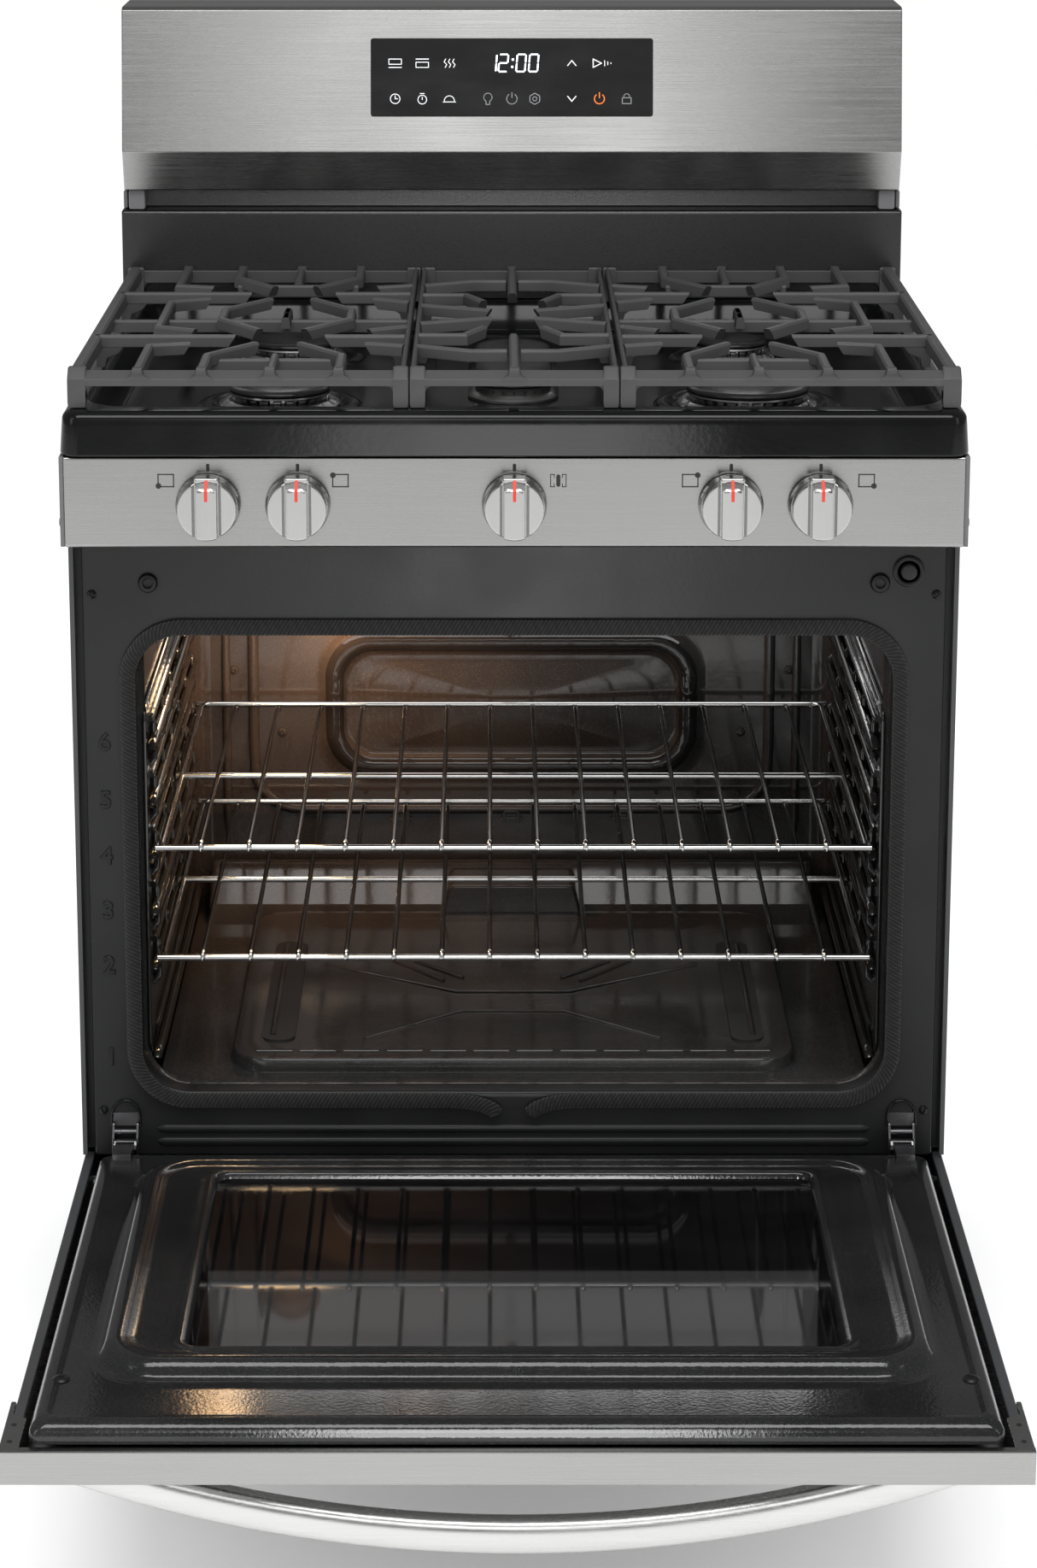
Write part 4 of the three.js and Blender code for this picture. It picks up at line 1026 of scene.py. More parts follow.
def front_frame():
    def outer(inset, y):
        return rim(upright, 366 - inset, (252.2 + inset, 805.8 - inset), 2.0, y, 10)

    rings = [outer(0, 57.5), outer(0, 43.6), outer(0.5, 42.5), outer(1.6, FRAME_Y)]
    for grow, y in ((16, FRAME_Y), (6, FRAME_Y), (2.6, 42.5), (0.8, 43.8), (0, 46), (0, 57), (1.6, 57.8), (2.2, 57),
                    (2.2, 46), (16, 44.2)):
        rings.append(mouth_ring(grow, y))
    shape = loft(Shape(), rings + [outer(3, 44.2), outer(2, 57.5)], closed=True)
    for s in SIDES:
        block(shape, (s * 364.5, s * 374.6), (56.4, 57.9), (253, 805), 0.4)
    section = [(3.8 * math.cos(a), 2.8 * math.sin(a)) for a in HALF_ROUND]
    for z in (265.0, 276.8):
        path = [(-311, 42.2, z), (-308, 42.0, z), (-304, 42.0, z), (304, 42.0, z), (308, 42.0, z), (311, 42.2, z)]
        sweep(shape, path, section, up=TO_ROOM, widths=[0.35, 0.85, 1, 1, 0.85, 0.35])
    piece("oven_frame_face", shape, FRAME_BLACK, replaces=["oven_front_frame"], crease=40)
    for digit, z in zip("654321", (627, 575.5, 525.4, 476, 426.5, 342.5)):
        raised_number(digit, z)
    screws, bumpers = Shape(), Shape()
    profile = [(0, 0), (8.2, 0), (8.5, 1.2), (8.2, 3.4), (7.2, 4.6), (4.4, 4.8), (3.8, 3.2), (3.4, 3.0), (0, 3.0)]
    for s in SIDES:
        for z in (757.7, 293.8):
            screw(screws, s * 358, FRAME_Y, z)
        lathe(bumpers, profile, (s * 310, FRAME_Y + 0.1, 768), "y", 32)
    piece("frame_screws", screws, GLOSS_BLACK, crease=30)
    piece("door_bumpers", bumpers, GLOSS_BLACK, crease=40)


def lamp_switch():
    centre = (334, FRAME_Y, 778)
    ring = [(9.2, -0.4), (13.4, -0.4), (13.6, 0.8), (13.2, 3.0), (12.2, 3.8), (10.4, 3.8), (9.4, 3.0), (9.2, 0)]
    piece("lamp_switch_collar", lathe(Shape(), ring, centre, "y", 48), SATIN_BLACK, crease=40)
    tip = [(0, -7.2), (9.8, -7.2), (9.8, -5.4), (6.9, -5.4), (6.9, 4.4), (6.4, 6.2), (5.0, 7.0), (0, 7.1)]
    piece("lamp_switch_button", lathe(Shape(), tip, centre, "y", 40), RUBBER, "lamp_switch",
          replaces=["lamp_switch_plunger"], crease=40)


def gasket_path(radius):
    """The rope's middle line round the mouth, from one end at the bottom to the other, in short steps."""
    half, corner = MOUTH_HALF + radius, MOUTH_CORNER + radius
    low, high = MOUTH_LOW - radius, MOUTH_HIGH + radius
    ends = (Vector((-14, low - 13)), Vector((-22, low - 1)), Vector((-60, low)))
    dip = 14
    path = []
    for k in range(dip):
        t = k / dip
        p = ends[0] * (1 - t) ** 2 + ends[1] * 2 * t * (1 - t) + ends[2] * t * t
        path.append((p.x, p.y))
    for u, v, start in ((-1, low + corner, 270), (-1, high - corner, 180),
                        (1, high - corner, 90), (1, low + corner, 0)):
        path += arc(u * (half - corner), v, corner, start, start - 90, 16)
    path += [(-u, v) for u, v in reversed(path[:dip])]
    dense = []
    for a, b in zip(path, path[1:]):
        n = max(1, round(math.dist(a, b) / 2.6))
        dense += [(a[0] + (b[0] - a[0]) * k / n, a[1] + (b[1] - a[1]) * k / n) for k in range(n)]
    return dense + [path[-1]]


def gasket():
    """A braided rope pressed into the frame round the mouth, open at the bottom middle."""
    radius, flat, sides = 6.6, 0.62, 14
    path = gasket_path(radius)
    rings, uvs = [], []
    travelled = 0.0
    for i, p in enumerate(path):
        travelled += math.dist(p, path[i - 1]) if i else 0.0
        a, b = path[max(0, i - 1)], path[min(len(path) - 1, i + 1)]
        t = Vector((b[0] - a[0], b[1] - a[1])).normalized()
        close = 0.55 if i in (0, len(path) - 1) else 1.0
        ring = []
        for k in range(sides):
            angle = 2 * math.pi * k / sides
            along = travelled / 5.2 * 2 * math.pi
            plait = 1 + 0.02 * (math.sin(along + 2 * angle) * math.sin(along - 2 * angle))
            r = radius * plait * close
            across = r * math.cos(angle)
            ring.append((p[0] - t.y * across, 37.6 + r * flat * math.sin(angle), p[1] + t.x * across))
            uvs.append((travelled / 7.0, k / sides if k * 2 <= sides else 1 - k / sides))
        rings.append(ring)
    piece("gasket_rope", loft(Shape(), rings), ROPE, replaces=["oven_gasket"], crease=60, uv=uvs)


BACK_SPAN = 1037        # the low and high edges of each pressed ring add up to this


def back_ring(half, low, r, y):
    """A ring on the back wall, level with its pressed figure."""
    return rim(upright, half, (low, BACK_SPAN - low), r, y, 10)


def cavity():
    """The enamelled liner: rounded walls, and a back wall with a pressed ring, beads and tabs."""
    def wall(inset, y, r=30.0):
        return rim(upright, 320 - inset, (270 + inset, 734 - inset), r, y, 10)

    def back(half, z, r, y):
        return rim(upright, half, z, r, y, 10)

    inside = [mouth_ring(-0.2, 58.4), mouth_ring(-0.2, 62), mouth_ring(-2, 66), wall(2.5, 70), wall(0.6, 74)]
    inside += [wall(0.3, 82), wall(0.3, 528)]
    for k in range(1, 7):
        angle = math.pi / 2 * k / 6
        inside.append(wall(0.3 + 22 * (1 - math.cos(angle)), 530 + 23 * math.sin(angle)))
    for spec in ((196, 434, 52, 553), (187, 443, 46, 552.4), (183, 447, 43, 548.6), (179, 451, 40, 546.2),
                 (173, 457, 36, 545.8), (168, 462, 32, 547.6), (165, 465, 30, 551.5), (161, 469, 28, 553.2)):
        inside.append(back_ring(*spec))
    for k in range(1, 7):
        t = k / 6.5
        dish = 553.2 - 7.0 * math.sin(math.pi / 2 * t)
        inside.append(back(161 * (1 - t), (469 + 49 * t, 568 - 49 * t), 28 * (1 - t) + 0.5, dish))
    outside = [back(20, (500, 530), 5, 555.6), back(280, (300, 700), 20, 556.0), wall(1, 552), wall(-1.6, 530, 31)]
    outside += [wall(-1.6, 74, 31), mouth_ring(2.4, 62), mouth_ring(1.2, 58.4)]
    liner = loft(Shape(), inside[::-1] + outside[::-1])
    piece("oven_liner", liner, OVEN_BLACK, replaces=["oven_cavity"], crease=50)
    # A thin band of the darker, glossier ladder enamel laid over the liner's pressed ring: painted shade that makes
    # the ring read dark.
    rows = ((186, 444, 46, 552.0), (183, 447, 43, 548.2), (179, 451, 40, 545.8), (173, 457, 36, 545.4),
            (168, 462, 32, 547.2), (165.4, 464.6, 30, 551.2), (166, 464, 30.4, 553.6), (173, 457, 36, 547.4),
            (179, 451, 40, 547.8), (185, 445, 45, 553.6))
    ring = loft(Shape(), [back_ring(*r) for r in rows[::-1]], closed=True)
    piece("oven_back_ring_shade", ring, LADDER_BLACK, crease=50)
    back_wall_details()


def back_wall_details():
    beads = Shape()
    path = [(-256, 552.2, z) for z in (700, 640, 560, 480)]
    path += [(u, 552.2, v) for u, v in arc(-211, 455, 45, 180, 270, 8)[1:]]
    path += [(-100, 552.2, 410), (100, 552.2, 410)]
    path += [(-x, y, z) for x, y, z in reversed(path[:-2])]
    sweep(beads, path, circle(5.5, 14), up=TO_ROOM)
    for s in SIDES:
        path = [(s * 283, 552.4, z) for z in (712, 560, 400, 372)]
        sweep(beads, path, circle(4.5), up=TO_ROOM, widths=[0.3, 1, 1, 0.3])
    piece("oven_back_beads", beads, OVEN_BLACK, crease=50)
    tabs = Shape()
    for x in (-110, 0, 110):
        block(tabs, (x - 11, x + 11), (548.5, 552.8), (398, 401.5), 0.6)
        for dx in (-7, 7):
            block(tabs, (x + dx - 1.6, x + dx + 1.6), (547.5, 552.8), (396, 411), 0.6)
        block(tabs, (x - 7, x + 7), (546.5, 549), (407, 411), 0.6)
    piece("oven_back_tabs", tabs, OVEN_BLACK)
    screws = Shape()
    for s in SIDES:
        screw(screws, s * 275, 552.6, 553, 4.5)
        screw(screws, s * 228, 552.6, 489, 4.5)
    piece("oven_back_screws", screws, OVEN_BLACK, crease=30)


def low_bead(half, low, shoulder, rise, crown):
    """A bead's flat section, from one edge over its crown to the other."""
    side = [(half, low), (shoulder, rise)]
    return side + [(0, crown)] + [(-u, v) for u, v in reversed(side)]


def oven_floor():
    """The lift-out floor: a raised plateau with a pressed cross, two slots drawn as dark plates of painted shade,
    and a rear hump with a box.
    """
    rows = ((60, (250, 330), 8, 317.5), (230, (108, 474), 20, 318), (238, (98, 482), 30, 309),
            (308, (52, 540), 5, 308.2), (312, (48, 545), 6, 308.2), (312, (48, 545), 6, 309.4),
            (310, (50, 543), 5, 310.2), (254, (85, 496), 38, 310.2), (251, (88, 493), 36, 311.0),
            (250, (89, 492), 35, 320.8), (249.5, (89.6, 491.4), 34.6, 322.2), (248, (91, 490), 33.6, 323),
            (226, (113, 468), 20, 323), (222, (117, 464), 18, 321.4), (150, (160, 420), 12, 320.8),
            (60, (250, 330), 8, 319.8))
    shape = loft(Shape(), [rim(lying, *r) for r in rows])
    # The pressed figure: bent beads that run from the plateau's corners to its middle and across it.
    for path in ([(-133, 145), (-47, 216), (47, 216), (133, 145)],
                 [(-175, 340), (-52, 268), (52, 268), (175, 340)],
                 [(-112, 352), (-64, 298)], [(112, 352), (64, 298)],
                 [(-92, 352), (-46, 306)], [(92, 352), (46, 306)]):
        sweep(shape, [(x, y, 321.2) for x, y in path], low_bead(2.6, -0.6, 1.6, 0.5, 0.9), up=UP)
    for k in range(12):
        x = (k - 5.5) * 38.6
        path = [(x - 16.4, 108, 322.7), (x - 15.6, 108, 323.1), (x + 15.6, 108, 323.1), (x + 16.4, 108, 322.7)]
        sweep(shape, path, low_bead(1.5, -0.8, 1.1, 0.7, 1.3), up=UP, widths=[0.4, 1, 1, 0.4])
    for s in SIDES:
        path = [(s * 108, 60, 309.9), (s * 110, 60, 310.3), (s * 274, 60, 310.3), (s * 276, 60, 309.9)]
        sweep(shape, path, low_bead(1.4, -0.8, 0.9, 0.5, 0.8), up=UP, widths=[0.4, 1, 1, 0.4])
    piece("oven_floor_plate", shape, OVEN_BLACK, replaces=["oven_floor_panel"], crease=50)
    # Dark plates fill the two slots' openings, painted shade, with a tube in each.
    slot_shade, tubes = Shape(), Shape()
    half_tube = [(3.6 * math.cos(a), 3.4 * math.sin(a)) for a in HALF_ROUND]
    for s in SIDES:
        slab(slot_shade, rounded((s * 211 - 15, s * 211 + 15), (136, 400), 12, 6), lying, 321.0, 323.2, 0.3)
        sweep(tubes, [(s * 216, 148, 321.4), (s * 216, 390, 321.4)], half_tube, up=UP)
    piece("oven_floor_slot_shade", slot_shade, INK)
    piece("oven_floor_slot_tubes", tubes, OVEN_BLACK, crease=50)
    profile = fillet([(486, 309), (548, 309), (550, 357), (541, 360), (498, 327)], [1, 1, 6, 12, 8], 6)
    piece("oven_floor_hump", bar_x(Shape(), profile, (-300, 300), 6), OVEN_BLACK, crease=50)
    outline = fillet([(-70, 322), (-62, 354), (62, 354), (70, 322), (52, 316), (-52, 316)], [5, 8, 8, 5, 8, 8])
    piece("oven_floor_vent_box", slab(Shape(), outline, upright, 478, 548, 3.5, 4), OVEN_BLACK, crease=50)


def rack_guides():
    """Pressed ladders on the side walls. Each rung is a ledge with a turned-down front end."""
    for side, s in (("left", -1), ("right", 1)):
        plate = rounded((64, 544), (334, 652), 14, 6)
        shape = slab(Shape(), plate, lambda u, v, w: (s * w, u, v), 316.4, 319.4, 1.2)
        for z in (342.5, 424, 474, 524, 574, 624):
            top = z - 3.6
            ledge = ((313.5, 74, -10), (313.0, 78, -5.5), (312, 86, -4.2), (311.5, 110, -4.0),
                     (311.5, 500, -4.0), (312, 524, -4.2), (313, 534, -7))
            upper = ((316, 92, 13.5), (314.5, 100, 14), (314.5, 490, 14), (316, 500, 13.5))
            sweep(shape, [(s * x, y, top + up) for x, y, up in ledge], oval(4.2, 4.0))
            sweep(shape, [(s * x, y, top + up) for x, y, up in upper], circle(3.0, 10))
            for y in range(96, 507, 82) if z > 400 else ():
                tie = ((317.5, y, -30), (313.6, y + 4, -24), (313.6, y + 10, 4), (317.5, y + 14, 10))
                tie = [(s * x, along, top + up) for x, along, up in tie]
                sweep(shape, tie, circle(3.6, 10), widths=[0.5, 1, 1, 0.5])
        piece(f"rack_ladder_{side}", shape, LADDER_BLACK, replaces=[f"rack_guide_{side}"], crease=50)


def rack(name, z, body):
    """A bright wire rack: three cross bars, two side rails and long wires that hook over the ends."""
    shape = Shape()
    for y in (70, 286, 530):
        bar = [(x, y, z) for x in (-311.8, -310.6, 310.6, 311.8)]
        sweep(shape, bar, circle(3.0), up=UP, widths=[0.6, 1, 1, 0.6])
    for s in SIDES:
        rail = ((296, 70), (301, 70.8), (305, 74), (306, 80), (306, 520), (305, 526), (301, 529.2), (296, 530))
        sweep(shape, [(s * x, y, z) for x, y in rail], circle(2.8), up=UP)
    thin = circle(2.15, 10)
    lengths = Shape()
    hook = ((66.4, -1.4), (66.0, 1.0), (66.8, 3.6), (69.2, 4.9), (73, 4.9))
    run = ((72.6, 4.9), (286, 4.9), (486, 4.9), (503, 3.8), (516, 0), (525, -4.2), (530, -5.2), (533.6, -5.2))
    for i in range(14):
        x = (i - 6.5) * 41.7
        sweep(shape, [(x, y, z + up) for y, up in hook], thin, widths=[0.7, 1, 1.1, 1.1, 1])
        sweep(lengths, [(x, y, z + up) for y, up in run], thin, widths=[1] * 7 + [0.7])
    # The long wires take the darker copy of the chrome, painted shade; the frame keeps the bright chrome.
    piece(f"{name}_long_wires", lengths, SHADED_WIRE, body, crease=60)
    piece(f"{name}_frame", shape, CHROME, body, replaces=[name], crease=60)


def lamp_glass():
    n = Nodes("lamp_glass", (0.05, 0.04, 0.03), 0.25, 0.0,
              **{"Emission Color": (1.0, 0.60, 0.30, 1), "Emission Strength": 0.02})
    n.bump(n.noise(300.0), 0.2, 0.001)
    return Look(n.material, "glass")


def oven_fittings():
    lens = [(0, 0), (30, 0), (30, 5), (28, 8), (25, 8.4), (24, 9.5), (22, 15), (16, 19.5), (8, 21.4), (0, 21.8)]
    lens = lathe(Shape(), lens, (-225, 555.6, 655), "y", 48)
    piece("oven_lamp_cover", lens, lamp_glass(), replaces=["oven_lamp"], crease=50)
    bars = Shape()
    bake_z = 286
    for x in (-192, 192):
        sweep(bars, [(x, 132, bake_z), (x, 370, bake_z)], circle(8, 16))
    sweep(bars, [(-192, 370, bake_z), (192, 370, bake_z)], circle(8, 16))
    sweep(bars, [(0, 372, bake_z), (0, 547, bake_z)], circle(9.5, 16))
    piece("bake_burner_tubes", bars, ZINC, replaces=["bake_burner"])
    spread = slab(Shape(), rounded((-119, 119), (121, 499), 10, 4), lying, 722.2, 723.8, 0.5)
    sweep(spread, [(0, 121, 714), (0, 547, 714)], circle(9.6, 20))
    for y in range(140, 463, 46):
        block(spread, (-100, 100), (y, y + 6), (720.2, 722.6), 0.8)
    piece("broil_burner_body", spread, ZINC, replaces=["broil_burner"])


# ---------------------------------------------------------------- door
PIVOT_Y, PIVOT_Z = millimetres(frame["joints"][0]["pos_m"])[1:]     # the first joint is the door's hinge
HINGE_X = 338.6
DOOR_HALF = 376.4
SKIN_OUT, EDGE_OUT, SKIN_LOW = -43.6, -16.2, -28.0      # the skin's outer face, its inner edge and its bottom


def on_door(x, up, out):
    """A point of the open door: up runs from the hinge to the top edge, out is away from the liner's plane."""
    return (x, PIVOT_Y - up, PIVOT_Z + out)


def door_ring(half, span, corner, out):
    return rim(on_door, half, span, corner, out)


def door_liner():
    """The pressed liner: its rim, the groove round the plug, the plug's slope and the window's frame."""
    room_side = [
        (358.5, (15, 531), 8, -15), (360, (13.5, 532), 9, -14.2), (360, (13, 532.2), 9, -9.8),
        (359.1, (13.9, 531.3), 9, -5.6), (356.6, (16.4, 528.8), 9, -2.0), (353, (20, 525.2), 9.5, 0.4),
        (349.4, (23.6, 521.6), 10, 1.3), (347.8, (25.2, 520), 10.5, 1.9), (346, (27, 518.2), 11, 1.1),
        (342, (31, 514), 12, 0.9), (327, (42, 466), 50, 0.9), (321.0, (48.2, 459.6), 48, 1.6),
        (318.6, (50.6, 456.6), 46, 4.2), (315.8, (53.0, 453.8), 44, 8.6), (312.8, (55.8, 450.8), 42, 12.0),
        (308.6, (59.6, 446.6), 40, 13.9), (303, (63.6, 441), 36, 14.0), (299, (67, 437), 33, 12.9),
        (296, (69, 434), 30, 11.4), (290, (74, 430), 26, 11.2), (268, (82, 428.6), 18, 11.4),
        (261, (83.6, 427.6), 15, 12.6), (257, (86, 426), 13.6, 13.2), (253.6, (88, 424.6), 12.4, 12.8),
        (252.2, (89.4, 423.8), 12, 11.4), (250.6, (91, 422), 11, 8.0)]
    under = [
        (252.8, (89, 424.6), 12.6, 7.9), (254.6, (87, 426.4), 14, 10.6), (294, (72, 432), 28, 9.4),
        (307, (61, 445), 40, 11.4), (316.2, (53.4, 454), 44, 1.4), (340, (29, 512), 12, -1.0),
        (354, (19, 528), 9, -4.0), (357.4, (15.4, 530.4), 8.4, -10), (357.2, (16, 530), 8, -15)]
    shape = loft(Shape(), [door_ring(*r) for r in room_side + under], closed=True)
    piece("door_liner_pan", shape, LINER_BLACK, "door", replaces=["door_liner"], crease=60)
    for side, half, span, corner, out in (("inner", 263.5, (77.5, 435.5), 6, (3.6, 7.4)),
                                          ("outer", 299.5, (70.5, 445.5), 8, (-43.4, -37.2))):
        glass = slab(Shape(), rounded((-half, half), span, corner, 4), on_door, *out, 0.3)
        piece(f"door_window_{side}", glass, WINDOW, "door", replaces=[f"door_glass_{side}"])


def door_skin():
    """The painted channels along the sides, and the steel skin with a hole for the outer window."""
    half, outer, edge = DOOR_HALF, SKIN_OUT, EDGE_OUT
    side = Shape()
    outline = [(half - 2.0, outer + 0.6), (half - 0.5, outer + 0.1), (half, outer + 1.2), (half, edge - 0.6),
               (half - 0.6, edge), (half - 7.5, edge), (half - 8.2, edge - 0.8), (half - 7.4, edge - 1.8),
               (half - 2.0, edge - 2.4)]
    heights = (SKIN_LOW + 0.3, SKIN_LOW + 1, 455, 470, 497.6)
    for s in SIDES:
        loft(side, [[on_door(s * x, up, out) for x, out in outline] for up in heights])
    piece("door_side_channels", side, SIDE_GREY, "door", crease=30)

    def skin(inset, out):
        return door_ring(half - inset - 0.4, (SKIN_LOW + inset, 497.8 - inset), 6.0, out)

    def hole(grow, out):
        return door_ring(262 + grow, (110 - grow, 408 + grow), 10 + grow, out)

    rings = [skin(0.2, -38), skin(0, -41.6), skin(0.7, -43.2), skin(2, -43.7), hole(3, -43.7), hole(0.6, -43.2)]
    rings += [hole(0, -42.4), hole(0.2, -41.6), hole(3, -41.4), skin(2.4, -41.4), skin(1.6, -38)]
    shape = loft(Shape(), rings, closed=True)
    piece("door_outer_skin", shape, STEEL, "door", replaces=["door_skin"], crease=30)


def door_trim():
    """The bright trim along the top edge, wrapped down both sides, with dark discs of painted shade for its rivet
    holes, and the liner's screws.
    """
    outer, edge = SKIN_OUT, EDGE_OUT
    high, low = 540.0, 498.4
    outline = [(low, outer + 0.1), (high - 2.2, outer + 0.1), (high - 0.7, outer + 0.7), (high, outer + 2.3),
               (high, edge - 2.0), (high - 0.6, edge - 0.5), (high - 1.8, edge), (high - 7, edge),
               (high - 7, edge - 1.6), (high - 2.4, edge - 2.0), (high - 2.0, outer + 2.2), (low, outer + 2.1)]
    trim = loft(Shape(), [[on_door(x, v, out) for v, out in outline] for x in (-381, -380.4, 380.4, 381)])
    hole_shade, screws = Shape(), Shape()
    profile = [(0, -0.4), (6.4, -0.4), (6.6, 0.6), (5.6, 1.6), (4.2, 2.4), (1.9, 2.7), (1.3, 1.2), (0, 1.1)]
    for s in SIDES:
        wrap = rounded((457, 539.6), (outer + 0.4, edge - 0.2), 2.0, 4)
        slab(trim, wrap, lambda v, out, w: on_door(s * w, v, out), 377.0, 381.0, 0.8)
        tab = fillet([(s * 366, 486), (s * 380.6, 478), (s * 380.6, 538), (s * 366, 538)], 3.0, 4)
        slab(trim, tab, on_door, edge - 1.8, edge + 0.2, 0.5)
        # Flat dark discs in the rivet holes' places: painted shade.
        for up in (497, 524):
            lathe(hole_shade, [(0, 0), (2.0, 0), (2.0, 0.3), (0, 0.3)], on_door(s * 374, up, edge + 0.15), segments=20)
        lathe(screws, profile, on_door(s * 343, 457, 1.0), segments=36, wave=cross_recess(0.6))
    piece("door_trim_bar", trim, STEEL, "door", replaces=["door_top_trim"], crease=30)
    piece("door_trim_hole_shade", hole_shade, INK, "door")
    piece("door_liner_screws", screws, SATIN_BLACK, "door", crease=30)


def door_handle():
    """The bowed handle: an oval bar whose ends run into the door's face."""
    reach, thick, half_length = -106.0, 28.0, 345
    sag = SKIN_OUT - reach
    radius = (half_length ** 2 + sag ** 2) / (2 * sag)
    middle = radius - thick / 2
    swing = math.acos((radius - sag - 8) / middle)
    path = []
    for k in range(41):
        angle = -swing + 2 * swing * k / 40
        path.append(on_door(middle * math.sin(angle), 521, reach + radius - middle * math.cos(angle)))
    section = []
    for k in range(28):
        c, s = math.cos(2 * math.pi * k / 28), math.sin(2 * math.pi * k / 28)
        section.append((11 * math.copysign(abs(c) ** 0.75, c), 14 * math.copysign(abs(s) ** 0.8, s)))
    bar = sweep(Shape(), path, section, up=UP)
    # The handle takes the lighter copy of the stainless, a painted highlight.
    piece("door_handle_bar", bar, LIT_HANDLE_STEEL, "door", replaces=["door_handle"], crease=50)


def hinge(side, x):
    dress(f"door_hinge_{side}", HINGE_STEEL, 0.6)
    receiver = Shape()
    cheek = fillet([(28, 246), (41.5, 246), (41.5, 284), (36, 284), (30, 272)], 2.5, 3)
    for dx in (-10.5, 10.5):
        slab(receiver, cheek, sideways, x + dx - 1.0, x + dx + 1.0, 0.4)
    block(receiver, (x - 13, x + 13), (40.6, 41.9), (279.5, 292), 0.5)
    block(receiver, (x - 8.6, x - 3.4), (30, 41), (266, 271), 0.8)
    block(receiver, (x + 3.4, x + 8.6), (30, 41), (258, 263), 0.8)
    sweep(receiver, [(x - 11, 36, 276), (x + 11, 36, 276)], circle(2.4, 14))
    piece(f"hinge_receiver_{side}", receiver, HINGE_STEEL, crease=35)
    flat, half = 40.6, 12.4
    turn = [math.pi * k / 12 for k in range(13)]
    arch = [(x + half * math.cos(a), flat, 288 + 15 * math.sin(a)) for a in turn]
    wire = sweep(Shape(), [(x + half, flat, 280)] + arch + [(x - half, flat, 280)], circle(1.3, 10))
    piece(f"hinge_wire_{side}", wire, GLOSS_BLACK)


def door():
    door_liner()
    door_skin()
    door_trim()
    door_handle()
    hinge("left", -HINGE_X)
    hinge("right", HINGE_X)


# ---------------------------------------------------------------- cabinet and drawer
BACK_Y = 640.35         # the back panel's rear face


def cabinet():
    for side in ("left", "right"):
        dress(f"side_panel_{side}", SIDE_GREY, 0.5)
        for end in ("front", "rear"):
            dress(f"levelling_leg_{end}_{side}", ZINC, 0.4)
    for node, bevel in (("back_panel", 0.8), ("base_pan", 0.5), ("gas_manifold", 0.0), ("drawer_box", 0.6)):
        dress(node, ZINC, bevel)
    screws = Shape()
    for x in (-355, -180, 0, 180, 355):
        for z in (70, 480, 860):
            lathe(screws, [(0, 0), (4.5, 0), (4.5, 1.0), (3.6, 2.2), (0, 2.8)], (x, 0, z), "y", 16)
    screws.corners = [(x, BACK_Y - y, z) for x, y, z in screws.corners]
    piece("back_screws", screws, ZINC, crease=30)

    _, face_y, low = millimetres(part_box("drawer_front")[0])
    high = millimetres(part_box("drawer_front")[1])[2]

    def front(inset, y):
        return rim(upright, 376 - inset, (low + inset, high - inset), 5.0, y, 6)

    rings = [front(2.5, 16.8), front(0.4, 16.0), front(0, 14.5), front(0, face_y + 3.2), front(0.9, face_y + 0.9)]
    rings += [front(3.2, face_y), front(50, face_y)]
    piece("drawer_face", loft(Shape(), rings), STEEL, "drawer", replaces=["drawer_front"], crease=30)
    pull = block(Shape(), (-150, 150), (face_y - 0.5, 12), (high - 1.6, high + 0.2), 0.5)
    piece("drawer_grip_lip", pull, GREY_PLASTIC, "drawer")


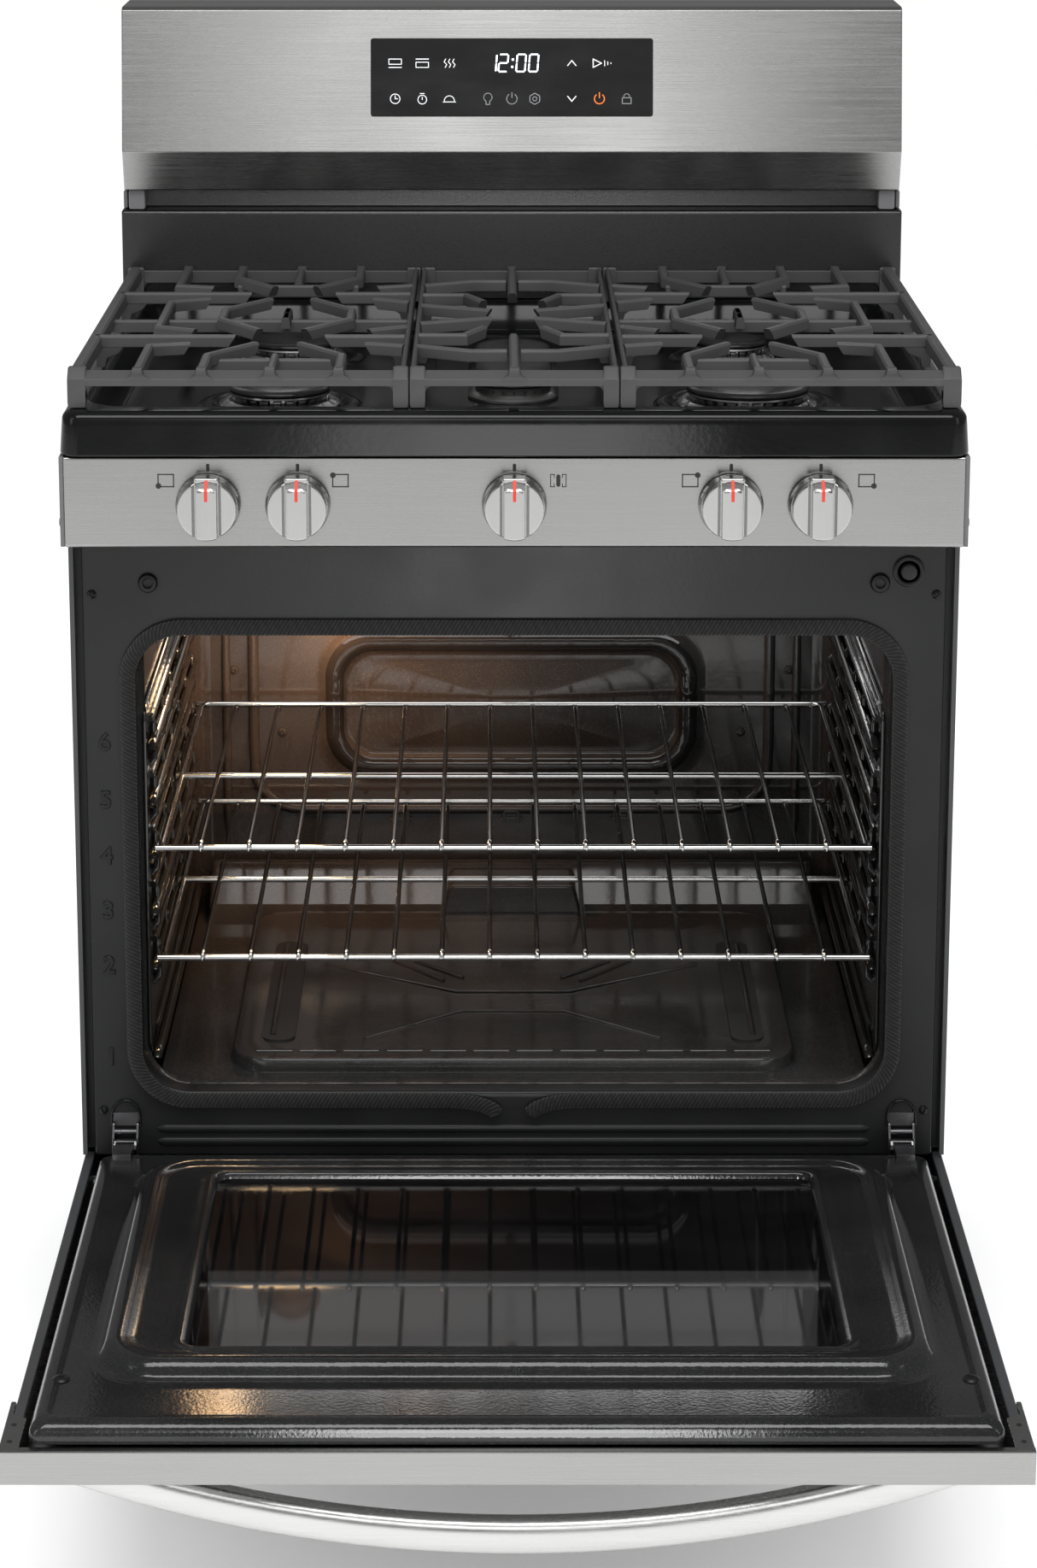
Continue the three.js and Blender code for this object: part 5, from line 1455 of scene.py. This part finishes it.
# ---------------------------------------------------------------- stage
# Name, place, aim, size in metres, power in watts, colour, whether reflections miss it, and the only
# pieces it lights, if it is linked to some.
WHITE = (1, 1, 1)
LIGHTS = (
    ("key_overhead", (0.0, -1.75, 3.5), (0, -0.6, 0.4), (3.0, 1.3), 80, WHITE, False, None),
    ("head_window", (-0.05, -4.3, 2.35), (0, 0.5, 1.1), (1.1, 1.3), 13, WHITE, False, None),
    ("left_fill", (-3.2, -2.2, 2.0), (0, 0, 0.6), (1.0, 2.2), 14, WHITE, False, None),
    ("right_fill", (3.2, -2.2, 2.0), (0, 0, 0.6), (1.0, 2.2), 11, WHITE, False, None),
    ("back_wash", (0.0, 2.4, 3.0), (0, 0.3, 0.9), (3.0, 1.2), 20, WHITE, True, None),
    ("oven_ceiling", row((30, 330, 712)), row((30, 360, 300)), (0.52, 0.30), 0.16, WHITE, True, None),
    ("oven_hump_card", row((0, 482, 706)), row((0, 487, 300)), (0.62, 0.09), 0.52, WHITE, False, None),
    ("oven_back_card", row((0, 546, 688)), row((0, 0, 640)), (0.60, 0.085), 0.075, WHITE, False, None),
    ("oven_lamp_wash", row((-190, 380, 640)), row((-215, 553, 600)), (0.16, 0.16), 2.0, (1.0, 0.50, 0.25),
     True, None),
    ("oven_lamp_beam", row((-190, 520, 650)), row((-60, 200, 330)), (0.05, 0.05), 1.5, (1.0, 0.50, 0.24),
     True, None),
    # The lamp's glare in the oven's upper corner, picked up by the door and the racks.
    ("oven_lamp_glow", row((-296, 455, 724)), row((-250, 200, 300)), (0.05, 0.08), 0.26, (1.0, 0.62, 0.30),
     False, ("glare_takers", "door_liner_pan", "rack_ladder_left", "rack_ladder_right")),
    ("oven_lamp_glint", row((-228, 190, 712)), row((-228, 190, 300)), (0.09, 0.05), 1.3, (1.0, 0.66, 0.34),
     False, ("glint_takers", "oven_rack_upper_frame", "oven_rack_lower_frame", "rack_ladder_left")),
    # Cards picked up only by the black faces, as flags in front of the steel would do.
    ("front_strip", (0.0, -1.9, 0.46), (0, 0, 0.5), (0.46, 0.92), 7.0, WHITE, False,
     ("enamel_faces", "cooktop_top", "oven_frame_face", "gasket_rope")),
    ("window_card", row((0, 50, 442)), row((0, -300, 442)), (0.54, 0.077), 0.032, WHITE, False,
     ("inner_window", "door_window_inner")),
    ("door_strip", (0.0, -1.9, 0.75), (0, 0, 0.35), (0.46, 1.5), 26, WHITE, False,
     ("door_faces", "door_liner_pan")),
    ("guard_card", (0.0, -1.1, 1.25), (0, 0.5, 1.0), (0.5, 0.4), 5, WHITE, False,
     ("guard_faces", "backguard_base")),
)


def softbox(name, place, aim, size, power, color, hidden, takers):
    light = bpy.data.lights.new(name, "AREA")
    light.shape = "RECTANGLE"
    light.size, light.size_y = size
    light.energy = power
    light.color = color
    obj = bpy.data.objects.new(name, light)
    bpy.context.collection.objects.link(obj)
    obj.location = place
    obj.rotation_euler = (Vector(aim) - Vector(place)).to_track_quat("-Z", "Y").to_euler()
    obj.visible_camera = False
    obj.visible_glossy = not hidden
    if takers:
        held = bpy.data.collections.new(takers[0])
        for name_of_piece in takers[1:]:
            held.objects.link(bpy.data.objects[name_of_piece])
        obj.light_linking.receiver_collection = held


def ground():
    """A wide pale floor with a slight glow."""
    mesh = bpy.data.meshes.new("floor")
    corners = [(-9000, -9000, -0.4), (9000, -9000, -0.4), (9000, 9000, -0.4), (-9000, 9000, -0.4)]
    mesh.from_pydata([row(c) for c in corners], [], [(0, 1, 2, 3)])
    floor = bpy.data.objects.new("floor", mesh)
    bpy.context.collection.objects.link(floor)
    n = Nodes("pale_floor", (0.86, 0.86, 0.86), 0.6, 0.0, **{"Specular IOR Level": 0.0})
    cloud = n.noise(3.0)
    n.tone(cloud, 0, 1, (0.86, 0.86, 0.86, 1), (0.84, 0.84, 0.84, 1))
    n.set(n.shader, **{"Emission Color": (1, 1, 1, 1), "Emission Strength": 0.16})
    mesh.materials.append(n.material)


def backdrop():
    """Near white, and dim in reflections, as in a studio with black cards round the set."""
    world = bpy.data.worlds.new("studio")
    bpy.context.scene.world = world
    world.use_nodes = True
    tree = world.node_tree
    background = tree.nodes["Background"]
    background.inputs[0].default_value = (1, 1, 1, 1)
    seen = tree.nodes.new("ShaderNodeLightPath").outputs["Is Glossy Ray"]
    level = tree.nodes.new("ShaderNodeMapRange")
    level.inputs["To Min"].default_value, level.inputs["To Max"].default_value = 1.0, 0.19
    tree.links.new(seen, level.inputs["Value"])
    tree.links.new(level.outputs[0], background.inputs[1])


def camera():
    data = bpy.data.cameras.new("camera")
    data.sensor_width = 36.0
    data.sensor_fit = "AUTO"
    data.lens = 86.1
    data.shift_x, data.shift_y = 0.0146, -0.195
    obj = bpy.data.objects.new("camera", data)
    bpy.context.collection.objects.link(obj)
    obj.location = row((-15.6, -3042, 1528))
    obj.rotation_euler = (math.radians(90 - 12.25), 0, 0)
    bpy.context.scene.camera = obj


camera()
cooktop()
for spot, head_radius, skirt_radius in zip(BURNER_SPOTS, (43, 52, 40, 32), (53, 61, 49, 41)):
    burner(*spot, head_radius, skirt_radius)
oval_burner()
side_grate(-1, "left")
side_grate(1, "right")
centre_grate()
backguard()
display()
control_panel()
for knob_name, knob_x in KNOBS.items():
    knob(knob_name, knob_x)
front_frame()
lamp_switch()
gasket()
cavity()
oven_floor()
rack_guides()
rack("oven_rack_upper", 524.0, "rack_upper")
rack("oven_rack_lower", 424.0, "rack_lower")
oven_fittings()
door()
cabinet()
ground()
backdrop()
for light_row in LIGHTS:
    softbox(*light_row)
bpy.context.scene.view_settings.view_transform = "Standard"
